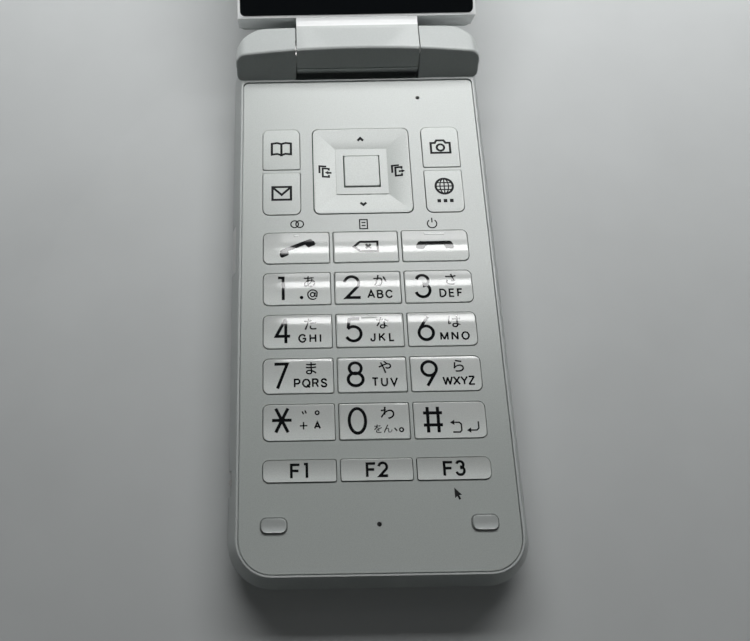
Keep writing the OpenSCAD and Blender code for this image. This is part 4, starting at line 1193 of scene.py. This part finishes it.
def add_keys():
    names = [["key_call", "key_clear", "key_end"], ["key_1", "key_2", "key_3"], ["key_4", "key_5", "key_6"],
             ["key_7", "key_8", "key_9"], ["key_star", "key_0", "key_hash"], ["key_f1", "key_f2", "key_f3"]]
    for row, row_names in enumerate(names):
        depth = F_KEY_DEPTH if "key_f1" in row_names else KEY_DEPTH
        for column, name in enumerate(row_names):
            width = MID_KEY if column == 1 else SIDE_KEY
            left = KEY_CORNER if column == 0 else KEY_SQUARE
            right = KEY_CORNER if column == 2 else KEY_SQUARE
            middle = ((column - 1) * COLUMN_X, FIRST_ROW - row * ROW_PITCH)
            key = make_key(name + "_cap", middle, (width, depth), (right, left, left, right), KEY_CROWN)
            if name in TOUCH_MARKS:
                add_touch_mark(key, middle, depth, TOUCH_MARKS[name])
            finish_piece(key, name, key_resin, [name])
            add_legend(name, middle, KEY_CROWN, ink)
    sides = {"key_book": (-1, 1), "key_mail": (-1, -1), "key_camera": (1, 1), "key_web": (1, -1)}
    for name, (side, row) in sides.items():
        middle = (side * SHORTCUT_X, NAV_Y + row * SHORTCUT_STEP)
        upper = SHORTCUT_CORNER if row > 0 else KEY_SQUARE
        lower = KEY_SQUARE if row > 0 else SHORTCUT_CORNER
        key = make_key(name + "_cap", middle, SHORTCUT_SIZE, (upper, upper, lower, lower), SHORTCUT_CROWN)
        finish_piece(key, name, key_satin, [name])
        add_legend(name, middle, SHORTCUT_CROWN, satin_ink)
    finish_piece(make_nav_ring(), "nav_ring", key_satin, ["nav_ring"])
    half = OK_W / 2
    ok = block("centre_key", (-half, half), (NAV_Y - half, NAV_Y + half), (KEY_FOOT, OK_TOP))
    round_edges(ok, OK_CORNER, SOFT_STEPS, upright_at(None, None))
    soften(ok, OK_SOFT, KEY_EDGE)
    finish_piece(ok, "nav_ok", key_satin, ["nav_ok"])


dress_cad_nodes()
shell = make_shell()
make_tail(shell)
carve(shell, block("port_opening", *PORT_OPENING))
carve(shell, block("strap_notch", *STRAP_NOTCH))
soften(shell, SHELL_SOFT)
finish_piece(shell, "base", white_case, ["base_front_case"])
right = make_knuckle()
use(right)
bpy.ops.object.duplicate()
left = bpy.context.object
left.data.transform(Matrix.Scale(-1, 4, (1, 0, 0)))
left.data.flip_normals()
right.name = "knuckle_right"
left.name = "knuckle_left"
finish_piece(right, "base", white_case, ["hinge_cap_right"])
finish_piece(left, "base", white_case, ["hinge_cap_left"])
whiten_neck(finish_piece(make_barrel(), "lid", white_case, ["hinge_barrel"]))
finish_piece(make_lid_frame(), "lid", white_frame, ["lid_front_case"])
add_keys()
add_nav_signs()
add_panel_signs()
add_pads()


# Table, lights and camera
TABLE_SIZE = 3
ROOM_TINT = (0.92, 1, 0.99, 1)
ROOM_LIGHT = 0.03
bpy.ops.mesh.primitive_plane_add(size=TABLE_SIZE)
table = bpy.context.object
table.name = "table"
table.data.materials.append(finish("pale_table", (0.58, 0.6, 0.6), grain=40, tones=(0.97, 1.03),
                                   rough=(0.55, 0.65), specular_ior_level=0.3))


def area_light(name, spot, aim, size, power):
    """A soft rectangular lamp at a place, turned to a point."""
    lamp = bpy.data.lights.new(name, "AREA")
    lamp.shape = "RECTANGLE"
    lamp.size, lamp.size_y = size
    lamp.energy = power
    holder = bpy.data.objects.new(name, lamp)
    bpy.context.scene.collection.objects.link(holder)
    holder.location = spot
    holder.rotation_euler = (Vector(aim) - Vector(spot)).to_track_quat("-Z", "Y").to_euler()
    return holder


desk_lamp = area_light("desk_lamp", spot=(0.03, 0.235, 0.225), aim=(0.03, 0.225, 0), size=(0.36, 0.14),
                       power=1.3)
desk_lamp.visible_glossy = False
sheen_panel = area_light("sheen_panel", spot=(0.185, 0.405, 0.43), aim=(0.185, 0.395, 0), size=(0.43, 0.31),
                         power=1.75)
sheen_panel.visible_diffuse = False
strip_light = area_light("strip_light", spot=(0.15, 0.2, 0.43), aim=(0.15, 0.0, 0.0), size=(0.36, 0.03),
                         power=0.46)
strip_light.visible_diffuse = False
front_strip = area_light("front_strip", spot=(0.05, -0.19, 0.43), aim=(0.05, -0.03, 0), size=(0.5, 0.07),
                         power=1.1)
front_strip.visible_diffuse = False
world = bpy.data.worlds.new("room")
world.use_nodes = True
room = world.node_tree.nodes["Background"].inputs
room["Color"].default_value = ROOM_TINT
room["Strength"].default_value = ROOM_LIGHT
bpy.context.scene.world = world
bpy.context.scene.view_settings.view_transform = "Standard"

EYE = Vector((-12.347, -55.09, 144.299))
AHEAD = Vector((-0.0012, 0.3516, -0.9361))
UPWARD = Vector((0.0177, 0.936, 0.3516))
LENS = 36.795
SHIFT = 0.0963
camera_data = bpy.data.cameras.new("camera")
camera_data.lens = LENS
camera_data.shift_x = SHIFT
camera_data.sensor_fit = "HORIZONTAL"
camera_data.clip_start = 0.01
camera = bpy.data.objects.new("camera", camera_data)
bpy.context.scene.collection.objects.link(camera)
across = AHEAD.cross(UPWARD).normalized()
upward = across.cross(AHEAD).normalized()
camera.matrix_world = Matrix.Translation(EYE * MM) @ Matrix(
    (across, upward, -AHEAD.normalized())).transposed().to_4x4()
bpy.context.scene.camera = camera
